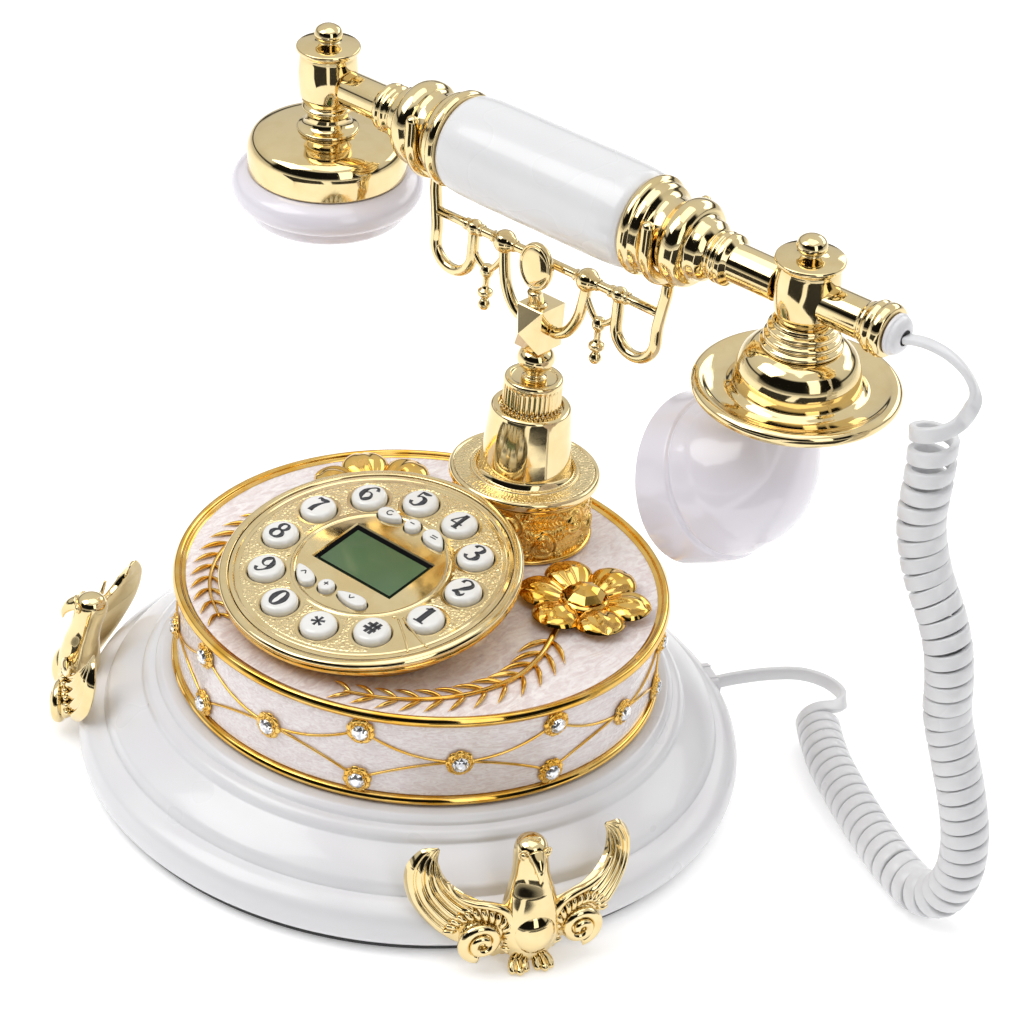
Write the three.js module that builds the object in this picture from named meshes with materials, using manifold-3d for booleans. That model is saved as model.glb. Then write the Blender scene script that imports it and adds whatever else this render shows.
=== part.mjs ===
// French-style cradle telephone: an enamelled drum on a stepped plinth with three dove feet, a
// push-button dial, a column that carries a wire cradle, and a handset with a curly cord.
// Units are millimetres. +X is the phone's right, -Y its front, +Z up. The origin is the centre
// of the base plate's underside, on the table.
import * as THREE from "three";
import { mergeVertices } from "three/addons/utils/BufferGeometryUtils.js";
import Module from "manifold-3d";

const wasm = await Module();
wasm.setup();

// ---- Driving dimensions ----
const DEGREE = Math.PI / 180;
const GAP = 0.3; // clearance between pieces that touch
const ROUND = 32; // sides of a large turned piece
const MIDDLE = 20; // sides of a middling one
const SMALL = 10; // sides of a small one

const PLATE_RADIUS = 110;
const PLATE_THICKNESS = 2.5;
const PLINTH_BOTTOM = PLATE_THICKNESS + GAP;
const PLINTH_TOP = 36.3;
const PLINTH_INNER = 75;
const DRUM_RADIUS = 81.5;
const DRUM_BOTTOM = 39.9;
const DRUM_SHOULDER = 67.2;
const DRUM_TOP = 69.5;
const DECK = DRUM_TOP + GAP; // where pieces stand on the drum

const COLUMN_Y = 49.3;
const COLUMN_BASE_RADIUS = 25.5;
const COLUMN_BASE_TOP = 91;
const STEM_RADIUS = 3.2;
const STEM_BORE = 3.6;

const DIAL_CENTRE = [0, -27.1, 86.8];
const DIAL_TILT = 9.9 * DEGREE;
const DIAL_RADIUS = 50.2;
const DIAL_PLATE = 1.6;
const KEY_RADIUS = 6.1;
const KEY_CIRCLE = 34.3;
const FIRST_KEY_ANGLE = -15.9; // of key 1, in degrees; each next key is a twelfth of a turn on
const KEY_TOP = 2.5;
const KEY_DEPTH = 3.4;
const KEY_CLEARANCE = 0.35;
const WINDOW = { width: 34.4, height: 21.4, x: -0.8, y: 2 };

const AXIS_Z = 202.4; // height of the handset's axis
const HANDSET_LEAN = 4 * DEGREE;
const POST_X = 102;
const FORK_X = 50;
const FORK_RADIUS = 14.7;
const FORK_WIRE = 2.2;
const PRONG_TOP = 210.7;

const BAR_Z = 173.5;
const BAR_WIRE = 1.6;
const LOOP_WIRE = 2;
const LOOP_INNER_X = 31.5;
const LOOP_OUTER_X = 48;
const LOOP_BOTTOM = 154.5;

const CORD_RADIUS = 2.5; // half the ribbon's width
const COIL_RADIUS = 8.5;
const JACK_ANGLE = 150; // round the plinth, in degrees from the front

// ---- Materials ----
function finish(color, roughness, metalness) {
  return new THREE.MeshStandardMaterial({ color, roughness, metalness });
}
const paleGold = finish(0xe8d49a, 0.12, 1);
const richGold = finish(0xe0a83a, 0.18, 1);
const pearl = finish(0xf1e6e4, 0.35, 0);
const satinWhite = finish(0xf4f4f6, 0.4, 0);
const glossWhite = finish(0xf6f4f8, 0.15, 0);
const keyWhite = finish(0xfbfaf5, 0.12, 0);
const glassGreen = finish(0x2f5a30, 0.1, 0);
const blackPlastic = finish(0x141414, 0.5, 0);
const boardGreen = finish(0x1f5d33, 0.6, 0);
const cordGrey = finish(0xd9d9d9, 0.35, 0);

// ---- The object and its turned groups ----
const phone = new THREE.Group();
const dial = new THREE.Group();
dial.position.set(...DIAL_CENTRE);
dial.rotation.x = DIAL_TILT;
const handset = new THREE.Group();
handset.position.set(0, COLUMN_Y, AXIS_Z);
handset.rotation.x = HANDSET_LEAN;
phone.add(dial, handset);

function add(name, geometry, material, parent = phone) {
  const mesh = new THREE.Mesh(geometry, material);
  mesh.name = name;
  parent.add(mesh);
  return mesh;
}

// ---- Shapes ----
// A turned solid about Z from [radius, height] points that run up the outside.
function turned(profile, sides = ROUND) {
  const points = profile.map(([r, z]) => new THREE.Vector2(r, z));
  return new THREE.LatheGeometry(points, sides).rotateX(Math.PI / 2);
}

// A closed ring profile: the first point again at its end.
function ring(profile, sides = ROUND) {
  return turned([...profile, profile[0]], sides);
}

function rod(radius, low, high, sides = SMALL) {
  return turned([[0, low], [radius, low], [radius, high], [0, high]], sides);
}

function circle(radius, sides) {
  const corners = Array.from({ length: sides }, (_, i) => {
    const a = (i / sides) * 2 * Math.PI;
    return new THREE.Vector2(radius * Math.cos(a), radius * Math.sin(a));
  });
  return new THREE.Shape(corners);
}

// A round bar along a smooth curve through the points.
function bar(points, radius, steps, sides = 8) {
  const curve = new THREE.CatmullRomCurve3(points.map((p) => new THREE.Vector3(...p)));
  const extrudePath = points.length === 2 ? new THREE.LineCurve3(...curve.points) : curve;
  return new THREE.ExtrudeGeometry(circle(radius, sides), { steps, extrudePath });
}

function ball(radius, [x, y, z], sides = 8) {
  return new THREE.SphereGeometry(radius, sides, sides / 2).translate(x, y, z);
}

function block(width, depth, height, [x, y, z]) {
  return new THREE.BoxGeometry(width, depth, height).translate(x, y, z);
}

function arc(centre, radius, from, to, count) {
  return Array.from({ length: count + 1 }, (_, i) => {
    const a = (from + ((to - from) * i) / count) * DEGREE;
    return [centre[0] + radius * Math.cos(a), centre[1] + radius * Math.sin(a)];
  });
}

// ---- Joining and cutting ----
function solid(geometry) {
  const bare = geometry.clone();
  bare.deleteAttribute("normal");
  bare.deleteAttribute("uv");
  const merged = mergeVertices(bare, 1e-4);
  const corners = merged.index.array;
  const triangles = [];
  for (let i = 0; i < corners.length; i += 3) {
    const [a, b, c] = corners.subarray(i, i + 3);
    if (a !== b && b !== c && c !== a) triangles.push(a, b, c);
  }
  return new wasm.Manifold(new wasm.Mesh({
    numProp: 3,
    vertProperties: Float32Array.from(merged.attributes.position.array),
    triVerts: Uint32Array.from(triangles),
  }));
}

function geometryOf(manifold) {
  const { vertProperties, triVerts } = manifold.getMesh();
  const geometry = new THREE.BufferGeometry();
  geometry.setAttribute("position", new THREE.BufferAttribute(vertProperties, 3));
  geometry.setIndex(new THREE.BufferAttribute(triVerts, 1));
  geometry.computeVertexNormals();
  return geometry;
}

function joined(...geometries) {
  return geometryOf(geometries.map(solid).reduce((a, b) => a.add(b)));
}

function cut(geometry, ...tools) {
  return geometryOf(tools.map(solid).reduce((a, b) => a.subtract(b), solid(geometry)));
}

// ---- Plinth ----
const plinthOutside = [
  [110.5, PLINTH_BOTTOM], [114, 9], [111.4, 15.4], [105.6, 17.6], [104.6, 22], [98.8, 25.6],
  [97.6, 28], [92.8, 29.4], [91.6, 32], [88.4, 33.4], [86, PLINTH_TOP],
];
const plinthInside = [
  [PLINTH_INNER, PLINTH_TOP], [PLINTH_INNER, 33.6], [85, 30.4], [100, 20], [108, PLINTH_BOTTOM],
];
const doveBack = [[0, -1], [114.6, -1], [114.6, 12], [106, 22], [86.6, 36.8], [84, 60], [0, 60]];

// A place on the plinth: distance from the middle, and angle from the front.
function around(radius, angle, z) {
  return [radius * Math.sin(angle * DEGREE), -radius * Math.cos(angle * DEGREE), z];
}

const jack = { width: 13, height: 11, inner: 98, outer: 114.2, z: 10.5 };

function jackBlock(extra) {
  const depth = jack.outer - jack.inner + 2 * extra;
  const middle = (jack.outer + jack.inner) / 2;
  return new THREE.BoxGeometry(jack.width + 2 * extra, depth, jack.height + 2 * extra)
    .translate(0, -middle, jack.z)
    .rotateZ(JACK_ANGLE * DEGREE);
}

function buildPlinth() {
  add("base_plate", rod(PLATE_RADIUS, 0, PLATE_THICKNESS, ROUND), blackPlastic);
  const shell = ring([...plinthOutside, ...plinthInside]);
  add("plinth_shell", cut(shell, jackBlock(GAP)), satinWhite);
  add("cord_jack", jackBlock(0), satinWhite);
  add("main_board", block(80, 56, 1.6, [10, -30, PLINTH_BOTTOM + 0.8]), boardGreen);
  const ringer = rod(20, PLINTH_BOTTOM, 14, SMALL).translate(-45, 30, 0);
  add("ringer", ringer, blackPlastic);
}

// ---- Drum ----
function buildDrum() {
  const lower = [[79, PLINTH_TOP + GAP], [82.8, 36.6], [83.5, 38.1], [82.8, 39.6], [79, 39.6]];
  add("drum_ring_bottom", ring(lower), richGold);
  const shell = [
    [79, DRUM_BOTTOM], [DRUM_RADIUS, DRUM_BOTTOM], [DRUM_RADIUS, DRUM_SHOULDER],
    [80.2, DRUM_SHOULDER], [80.2, DRUM_TOP], [0, DRUM_TOP],
  ];
  add("drum_shell", turned([[0, 67], [79, 67], ...shell]), pearl);
  const upper = [[80.5, 67.5], [83, 67.5], [83.9, 69], [83.5, 70.6], [82.2, 71.3], [80.8, 70.6]];
  add("drum_ring_top", ring(upper), richGold);
}

// Stone settings in threes, one midway up and then two above each other, joined by thin wire.
const GARLAND_COLUMNS = 16;
const FIRST_SETTING = 51.5; // degrees from the front
const SETTING_RADIUS = 4.2;
const WALL_Z = 53.5;
const PAIR_RISE = 9.3;

function setting(angle, z) {
  return rod(SETTING_RADIUS, DRUM_RADIUS + GAP, DRUM_RADIUS + 3.2, 6)
    .rotateX(Math.PI / 2)
    .translate(0, 0, z)
    .rotateZ(angle * DEGREE);
}

function garlandWire(angle, side, rise) {
  const step = 360 / GARLAND_COLUMNS;
  const points = [0, 0.35, 0.7, 1].map((t) => {
    const z = WALL_Z + rise * t * t;
    return around(DRUM_RADIUS + 1.6, angle + side * step * t, z);
  });
  return bar(points, 0.8, 3, 3);
}

function buildGarland() {
  const step = 360 / GARLAND_COLUMNS;
  const pieces = [];
  for (let i = 0; i < GARLAND_COLUMNS; i += 2) {
    const angle = FIRST_SETTING + i * step;
    pieces.push(setting(angle, WALL_Z));
    for (const rise of [-PAIR_RISE, PAIR_RISE]) {
      pieces.push(setting(angle + step, WALL_Z + rise));
      pieces.push(garlandWire(angle, 1, rise), garlandWire(angle, -1, rise));
    }
  }
  add("garland", joined(...pieces), richGold);
}

// ---- Flower sprays on the drum's top ----
const FLOWER = { x: 47.4, y: 28, radius: 23, petals: 6 };
const STEM = [[47.4, 20], [57, 0], [60, -19], [54.5, -43], [42.5, -58.5], [27, -68.5]];
const LEAVES = 4;

function petal(index) {
  const angle = ((index + 0.5) / FLOWER.petals) * 2 * Math.PI;
  return new THREE.SphereGeometry(1, 8, 4)
    .scale(FLOWER.radius * 0.34, 6.6, 3.4)
    .translate(FLOWER.radius * 0.66, 0, 3.6)
    .rotateZ(angle)
    .translate(FLOWER.x, FLOWER.y, DECK);
}

function leaf(point, direction, side) {
  const angle = Math.atan2(direction.y, direction.x) + side * 0.75;
  return new THREE.SphereGeometry(1, 5, 3)
    .scale(3.4, 1.1, 0.9)
    .translate(2.8, 0, 1)
    .rotateZ(angle)
    .translate(point.x, point.y, DECK);
}

function spray() {
  const curve = new THREE.CatmullRomCurve3(STEM.map(([x, y]) => new THREE.Vector3(x, y, 0)));
  const path = STEM.map(([x, y]) => [x, y, DECK + 1.2]);
  const pieces = [bar(path, 1.1, 8, 4)];
  for (let i = 0; i < FLOWER.petals; i++) pieces.push(petal(i));
  pieces.push(new THREE.SphereGeometry(1, 8, 4).scale(9, 9, 6)
    .translate(FLOWER.x, FLOWER.y, DECK + 3));
  for (let i = 0; i < LEAVES; i++) {
    const t = 0.3 + (0.62 * i) / (LEAVES - 1);
    for (const side of [-1, 1]) pieces.push(leaf(curve.getPoint(t), curve.getTangent(t), side));
  }
  const belowDeck = block(120, 220, 20, [40, 0, DECK - 10]);
  return cut(joined(...pieces), belowDeck);
}

function mirrored(geometry) {
  const copy = geometry.clone().scale(-1, 1, 1);
  const index = copy.index.array;
  for (let i = 0; i < index.length; i += 3) [index[i], index[i + 1]] = [index[i + 1], index[i]];
  return copy;
}

function buildSprays() {
  const right = spray();
  add("flower_spray_right", right, richGold);
  add("flower_spray_left", mirrored(right), richGold);
}

// ---- Dove feet ----
const DOVE_ANGLES = { dove_right: 61, dove_left: -55, dove_rear: 187 };

function dove(angle) {
  const parts = [
    ball(1, [0, 0, 0]).scale(11, 7.5, 13).rotateX(0.35).translate(0, -119, 17), // breast
    ball(1, [0, 0, 0]).scale(6, 6.5, 6.5).translate(0, -112, 39), // head
    ball(1, [0, 0, 0]).scale(5, 5, 12).rotateX(-0.3).translate(0, -115, 30), // neck
    ball(1, [0, 0, 0]).scale(15, 4, 7).translate(0, -118.5, 6.8), // tail on the table
  ];
  for (const side of [-1, 1]) {
    parts.push(bar([
      [side * 6, -117, 16], [side * 18, -115, 20], [side * 27, -111, 28], [side * 32, -104, 37],
    ], 5.2, 3, 6));
    parts.push(bar([
      [side * 8, -118, 10], [side * 20, -117.5, 10], [side * 30, -116, 17],
    ], 4.4, 3, 6));
  }
  const floor = block(120, 60, 10, [0, -120, -5]);
  return cut(joined(...parts), turned(doveBack), floor).rotateZ(angle * DEGREE);
}

function buildDoves() {
  for (const [name, angle] of Object.entries(DOVE_ANGLES)) add(name, dove(angle), paleGold);
}

// ---- Dial ----
const KEYS = ["1", "2", "3", "4", "5", "6", "7", "8", "9", "0", "star", "hash"];

function keyPlace(index) {
  const angle = (FIRST_KEY_ANGLE + index * 30) * DEGREE;
  return [KEY_CIRCLE * Math.cos(angle), KEY_CIRCLE * Math.sin(angle)];
}

// Function keys: place on the dial, half length, half width and turn.
const FUNCTION_KEYS = {
  redial: [-11.6, 21.9, 4.9, 2.8, 4],
  set: [-2.1, 22.5, 3, 3, 0],
  handsfree: [8.4, 21.6, 5.4, 3, -22],
  up: [-12.6, -18.2, 5.4, 2.8, -26],
  out: [-2.9, -17.9, 3, 3, 0],
  down: [8, -17.6, 6, 2.6, 4],
};

function functionKey([x, y, length, width, turn], extra, low, high) {
  return rod(1, low, high, 10)
    .scale(length + extra, width + extra, 1)
    .rotateZ(turn * DEGREE)
    .translate(x, y, 0);
}

function digitHole(index, low, high) {
  const [x, y] = keyPlace(index);
  return rod(KEY_RADIUS + KEY_CLEARANCE, low, high, SMALL).translate(x, y, 0);
}

function digitKeyCap(index) {
  const [x, y] = keyPlace(index);
  const profile = [
    [0, -KEY_DEPTH], [KEY_RADIUS, -KEY_DEPTH], [KEY_RADIUS, 1.2], [4.6, KEY_TOP], [0, KEY_TOP],
  ];
  return turned(profile, SMALL).translate(x, y, 0);
}

function dishHousing() {
  const profile = [
    [0, -24], [36, -24], [38, -14], [43, -8], [DIAL_RADIUS - 0.8, -4.6], [DIAL_RADIUS, 0],
    [DIAL_RADIUS - 2, 0.4], [47, 0], [47, -DIAL_PLATE - GAP], [44, -DIAL_PLATE - GAP],
    [44, -6.4], [0, -6.4],
  ];
  const deckCut = block(160, 160, 40, [0, 0, DECK - 20])
    .translate(-DIAL_CENTRE[0], -DIAL_CENTRE[1], -DIAL_CENTRE[2])
    .rotateX(-DIAL_TILT);
  return cut(turned(profile), deckCut);
}

function dialFace() {
  const low = -DIAL_PLATE - 1;
  const holes = KEYS.map((_, i) => digitHole(i, low, 1));
  for (const key of Object.values(FUNCTION_KEYS)) {
    holes.push(functionKey(key, KEY_CLEARANCE, low, 1));
  }
  const { width, height, x, y } = WINDOW;
  holes.push(block(width + 2 * GAP, height + 2 * GAP, 6, [x, y, 0]));
  return cut(rod(47 - GAP, -DIAL_PLATE, 0, ROUND), ...holes);
}

function buildDial() {
  add("dial_housing", dishHousing(), richGold, dial);
  add("dial_face", dialFace(), paleGold, dial);
  const { width, height, x, y } = WINDOW;
  add("display_window", block(width, height, 2.6, [x, y, -0.7]), glassGreen, dial);
  add("key_board", rod(42, -6.1, -5.1, MIDDLE), boardGreen, dial);
  KEYS.forEach((key, i) => add(`key_${key}`, digitKeyCap(i), keyWhite, dial));
  for (const [key, shape] of Object.entries(FUNCTION_KEYS)) {
    add(`key_${key}`, functionKey(shape, 0, -KEY_DEPTH, 2), keyWhite, dial);
  }
}

// ---- Column ----
function buildColumn() {
  const foot = [
    [14, DECK], [24.5, DECK], [COLUMN_BASE_RADIUS, 71.5], [COLUMN_BASE_RADIUS, 89.5],
    [24.5, COLUMN_BASE_TOP], [14, COLUMN_BASE_TOP],
  ];
  add("column_base", ring(foot, MIDDLE).translate(0, COLUMN_Y, 0), richGold);
  const cone = [
    [13.6, 91.3], [25.4, 91.3], [26.1, 92], [26.1, 93.9], [25.6, 94.5], [16.6, 94.9],
    [13.8, 118.2], [13, 119.2], [11.2, 119.2], [11.2, 117.2], [STEM_BORE, 117.2],
    [STEM_BORE, 112], [11, 112],
  ];
  add("column_cone", ring(cone, MIDDLE).translate(0, COLUMN_Y, 0), paleGold);
  const collar = [
    [STEM_BORE, 117.5], [10.3, 117.5], [10.3, 129.4], [9.5, 130.2], [7.4, 130.2], [7.4, 129.2],
    [STEM_BORE, 129.2],
  ];
  add("column_collar", ring(collar, MIDDLE).translate(0, COLUMN_Y, 0), paleGold);
  const hookSwitch = block(14, 10, 28, [0, COLUMN_Y, DECK + 14]);
  add("hook_switch", hookSwitch, blackPlastic);
}

// ---- Cradle ----
const BLOCK = { width: 10.7, depth: 12.4, low: 142, high: 158 };

function buildStem() {
  const profile = [
    [0, 98.2], [STEM_RADIUS, 98.2], [STEM_RADIUS, 132.6], [5.6, 134.4], [6.45, 137],
    [5.6, 139.6], [STEM_RADIUS, 141.7], [0, 141.7],
  ];
  add("cradle_stem", turned(profile, SMALL).translate(0, COLUMN_Y, 0), paleGold);
}

function buildBlock() {
  const { width, depth, low, high } = BLOCK;
  const middle = (low + high) / 2;
  const parts = [block(width, depth, high - low, [0, COLUMN_Y, middle])];
  for (const side of [-1, 1]) {
    parts.push(new THREE.ConeGeometry(Math.SQRT1_2, 5, 4)
      .rotateY(Math.PI / 4)
      .scale(width - 0.2, 1, high - low - 0.2)
      .rotateX(side < 0 ? Math.PI : 0)
      .translate(0, COLUMN_Y + side * (depth / 2 + 2.4), middle));
  }
  parts.push(bar([[0, 47, high - 1], [0, 44.8, 163.4]], 2.6, 1, 12));
  add("cradle_block", joined(...parts), paleGold);
  const mirror = turned([
    [0, -1.6], [0.9, -1.6], [1, -0.8], [1, 0.8], [0.9, 1.4], [0.78, 0.9], [0, 1.9],
  ], 20).scale(6.9, 8.6, 1).rotateX(Math.PI / 2).translate(0, 44.5, 172.9);
  add("cradle_mirror", mirror, paleGold);
}

function loopPath(side) {
  const middle = (LOOP_INNER_X + LOOP_OUTER_X) / 2;
  const half = (LOOP_OUTER_X - LOOP_INNER_X) / 2;
  const bottom = arc([middle, LOOP_BOTTOM + half], half, 180, 360, 6);
  const points = [[LOOP_INNER_X, BAR_Z], ...bottom, [LOOP_OUTER_X, BAR_Z - 3]];
  points.push([FORK_X - 0.6, BAR_Z + 4], [FORK_X, AXIS_Z - FORK_RADIUS - FORK_WIRE - GAP]);
  return points.map(([x, z]) => [side * x, COLUMN_Y, z]);
}

function yokeSide(side) {
  const at = (x, z) => [side * x, COLUMN_Y, z];
  return [
    bar(loopPath(side), LOOP_WIRE, 14, 6),
    ball(3, at(LOOP_INNER_X, BAR_Z)),
    ball(4.2, at(18, BAR_Z)),
    bar([at(5.9, 149.4), at(8, 149.5), at(11.5, 151.6), at(15.5, 158), at(17.6, BAR_Z)], 2, 4, 5), // anchor arm
    bar([at(18, BAR_Z - 4), at(21, 164), at(24.5, 160)], 1.1, 2, 5),
    bar([at(LOOP_INNER_X, BAR_Z - 8), at(28, 163), at(24.5, 160)], 1.1, 2, 5),
    ball(2.4, at(24.5, 160)),
    bar([at(24.5, 160), at(24.5, 148)], 1, 1, 5),
    ball(2, at(24.5, 152)),
    ball(2.2, at(24.5, 147.5)),
  ];
}

function buildYoke() {
  const barPiece = bar([[-LOOP_OUTER_X, COLUMN_Y, BAR_Z], [LOOP_OUTER_X, COLUMN_Y, BAR_Z]],
    BAR_WIRE, 1, 6);
  add("cradle_yoke", joined(barPiece, ...yokeSide(-1), ...yokeSide(1)), paleGold);
}

function buildForks() {
  const bottom = arc([COLUMN_Y, AXIS_Z], FORK_RADIUS, 180, 360, 10);
  const path = [
    [COLUMN_Y - FORK_RADIUS, PRONG_TOP], ...bottom, [COLUMN_Y + FORK_RADIUS, PRONG_TOP],
  ];
  for (const [name, side] of [["cradle_fork_left", -1], ["cradle_fork_right", 1]]) {
    const points = path.map(([y, z]) => [side * FORK_X, y, z]);
    add(name, bar(points, FORK_WIRE, 18, 8), paleGold);
  }
}

// ---- Handset ----
// Turned about the handset's own axis: [radius, distance from the middle] points.
function along(profile, side, sides = MIDDLE) {
  return turned(profile, sides).rotateY(side * Math.PI / 2);
}

function buildGrip() {
  const half = [[15.2, 38.7], [16.4, 35.5], [17, 29], [17.1, 15]];
  const profile = [
    [4, -38.7], ...half.map(([r, x]) => [r, -x]), ...half.reverse(), [4, 38.7], [4, -38.7],
  ];
  add("handset_grip", along(profile, 1), pearl, handset);
}

function buildFerrules() {
  const profile = [
    [4, 39], [16, 39], [16.8, 42], [15, 45.6], [12.2, 47], [12.2, 53], [14.4, 54.6], [15, 57.4],
    [13.6, 60.6], [10.2, 61.8], [9.6, 66], [7.2, 67.4], [8.5, 69.4], [8.5, 74], [6.4, 75.4],
    [6.4, 91.6], [4, 91.6], [4, 39],
  ];
  add("handset_ferrule_left", along(profile, -1), paleGold, handset);
  add("handset_ferrule_right", along(profile, 1), paleGold, handset);
}

const postBarrel = [
  [10, -5.6], [10, 11], [11, 11.8], [11, 13.2], [3.4, 14.4], [4.9, 16.4], [4.6, 19.2], [0, 20.6],
];
const earFoot = [
  [0, -18.2], [10.9, -18.2], [10.9, -17], [7.2, -15.8], [7, -10.8], [9, -9.4], [8.6, -7.2],
];
const mouthFoot = [
  [0, -17.6], [13, -17.6], [13, -15.6], [11.2, -13.8], [11.6, -11.6], [9.6, -9.8], [8.6, -7.2],
];

function buildPosts() {
  const earPost = turned([...earFoot, ...postBarrel], 16);
  const mouthPost = turned([...mouthFoot, ...postBarrel], 16);
  const sleeve = along([[0, 4], [6.4, 4], [6.4, 24], [8.4, 25.6], [8.8, 29], [8.4, 32.4],
    [0, 32.4]], 1, 16);
  add("handset_post_left", earPost.translate(-POST_X, 0, 0), paleGold, handset);
  add("handset_post_right", joined(mouthPost, sleeve).translate(POST_X, 0, 0), paleGold, handset);
  const gland = along([[0, 32.7], [6.8, 32.7], [6.4, 35], [4, 36.8], [0, 36.8]], 1, SMALL);
  add("cord_gland", gland.translate(POST_X, 0, 0), satinWhite, handset);
}

function buildEarpiece() {
  const cap = [
    [0, -21.2], [20, -22.4], [24.6, -25], [25, -33], [28, -33], [28, -24.6], [26, -21.4],
    [20, -19.8], [11, -18.5], [0, -18.5],
  ];
  add("earpiece_cap", turned(cap, MIDDLE).translate(-POST_X, 0, 0), paleGold, handset);
  const cover = [
    [0, -47], [20, -49.2], [27.4, -50], [29, -48.4], [29.4, -44.6], [32.6, -43.4],
    [33.8, -39.4], [32.2, -35.6], [28.6, -33.3], [24.6, -33.3], [24.6, -44.6], [0, -44.6],
  ];
  add("earpiece_cover", turned(cover, MIDDLE).translate(-POST_X, 0, 0), glossWhite, handset);
  add("earpiece_receiver", rod(19, -44, -34).translate(-POST_X, 0, 0), blackPlastic, handset);
}

// The horn bends from straight down below its saucer to a mouth that faces the speaker.
const HORN = { top: -37.9, corner: -69, mouth: [-36, -84.6] };
const hornRadii = [9.6, 10.6, 13.2, 18, 22.8, 26, 27.8, 28.4];

function hornBody(shrink, from, to) {
  const curve = new THREE.QuadraticBezierCurve3(
    new THREE.Vector3(0, 0, HORN.top),
    new THREE.Vector3(0, 0, HORN.corner),
    new THREE.Vector3(HORN.mouth[0], 0, HORN.mouth[1]),
  );
  const sides = 16;
  const last = hornRadii.length - 1;
  const positions = [];
  for (let i = 0; i <= last; i++) {
    const t = from + ((to - from) * i) / last;
    const centre = curve.getPoint(t);
    const way = curve.getTangent(t);
    const across = new THREE.Vector3(-way.z, 0, way.x);
    const radius = THREE.MathUtils.lerp(
      hornRadii[Math.floor(t * last)], hornRadii[Math.ceil(t * last)], (t * last) % 1,
    ) - shrink;
    for (let k = 0; k < sides; k++) {
      const a = (k / sides) * 2 * Math.PI;
      const x = radius * Math.cos(a);
      const y = radius * Math.sin(a);
      positions.push(centre.x + across.x * x, y, centre.z + across.z * x);
    }
  }
  const ends = [curve.getPoint(from), curve.getPoint(to)];
  for (const end of ends) positions.push(end.x, end.y, end.z);
  const index = [];
  for (let k = 0; k < sides; k++) {
    const n = (k + 1) % sides;
    for (let i = 0; i < last; i++) {
      const [a, b, c, d] = [i * sides + k, i * sides + n, (i + 1) * sides + k, (i + 1) * sides + n];
      index.push(a, c, b, b, c, d);
    }
    const tip = (last + 1) * sides;
    index.push(tip, k, n, tip + 1, last * sides + n, last * sides + k);
  }
  const geometry = new THREE.BufferGeometry();
  geometry.setAttribute("position", new THREE.Float32BufferAttribute(positions, 3));
  geometry.setAttribute("normal", new THREE.Float32BufferAttribute(positions.length, 3));
  geometry.setAttribute("uv", new THREE.Float32BufferAttribute((positions.length / 3) * 2, 2));
  geometry.setIndex(index);
  return geometry;
}

function buildMouthpiece() {
  const saucer = [
    [0, -37.6], [13, -37.6], [20, -36.6], [31.5, -35.8], [33.5, -34.2], [33.5, -32.2],
    [32, -31.2], [29, -32.4], [22.4, -32.6], [20, -30], [19.4, -25.6], [17.4, -21],
    [13.4, -17.9], [0, -17.9],
  ];
  add("mouthpiece_saucer", turned(saucer, MIDDLE).translate(POST_X, 0, 0), paleGold, handset);
  const wireHole = rod(4.6, -47, HORN.top + 2, 16);
  const horn = cut(hornBody(0, 0, 1), hornBody(2.6, 0.1, 0.93), wireHole);
  add("mouthpiece_horn", horn.translate(POST_X, 0, 0), glossWhite, handset);
}

// ---- Cord ----
// The ribbon from the gland, the coil down to the table and along it, the ribbon to the jack.
const handsetLead = [
  [139.3, 202.4], [146, 204], [155, 203.2], [162.6, 199.4], [166.2, 193.6], [164.6, 188],
  [160.4, 185],
];
const coilRoute = [
  [154, 49, 180.4], [155, 49, 173], [155.5, 49, 162], [155.5, 49, 148], [157.5, 49.3, 138],
  [161.5, 49.6, 128], [168, 50, 117], [172.5, 50, 107], [174.8, 50.4, 96], [176.4, 51, 83],
  [181.5, 52, 68], [186.6, 53, 53], [189.6, 54, 39], [189.4, 54.6, 25], [184.4, 55.4, 13.2],
  [175, 57, 8.8], [164, 61, 8.8], [154, 66, 8.8], [142, 73, 8.8], [128, 82, 8.8],
  [114, 92, 8.8], [104, 101, 8.8], [96.6, 108.6, 8.8],
];
const baseLead = [
  [98.6, 114, 14.4], [98.6, 120.4, 13.4], [93.4, 126.6, 12], [84.6, 129.6, 11], [75, 127, 10.6],
  [67, 118, 10.5], [60.4, 106.4, 10.5], [57.5, 99.7, 10.5],
];

function buildCord() {
  const upper = handsetLead.map(([x, z]) => [x, COLUMN_Y, z]);
  add("cord_lead_handset", bar(upper, CORD_RADIUS, 12), cordGrey);
  add("cord_coil", bar(coilRoute, COIL_RADIUS, 36, 8), cordGrey);
  add("cord_lead_base", bar(baseLead, CORD_RADIUS, 12), cordGrey);
}

buildPlinth();
buildDrum();
buildGarland();
buildSprays();
buildDoves();
buildDial();
buildColumn();
buildStem();
buildBlock();
buildYoke();
buildForks();
buildGrip();
buildFerrules();
buildPosts();
buildEarpiece();
buildMouthpiece();
buildCord();

export default phone;
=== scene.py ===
"""A french-style cradle telephone: its looks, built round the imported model.

Sizes are millimetres in the model's own frame until Piece.build turns them into metres. +X is the
phone's right, -Y its front, +Z up, and the origin is the middle of the base plate's underside.
"""
import math

import bpy
import numpy as np
from mathutils import Matrix, Vector, noise


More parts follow.
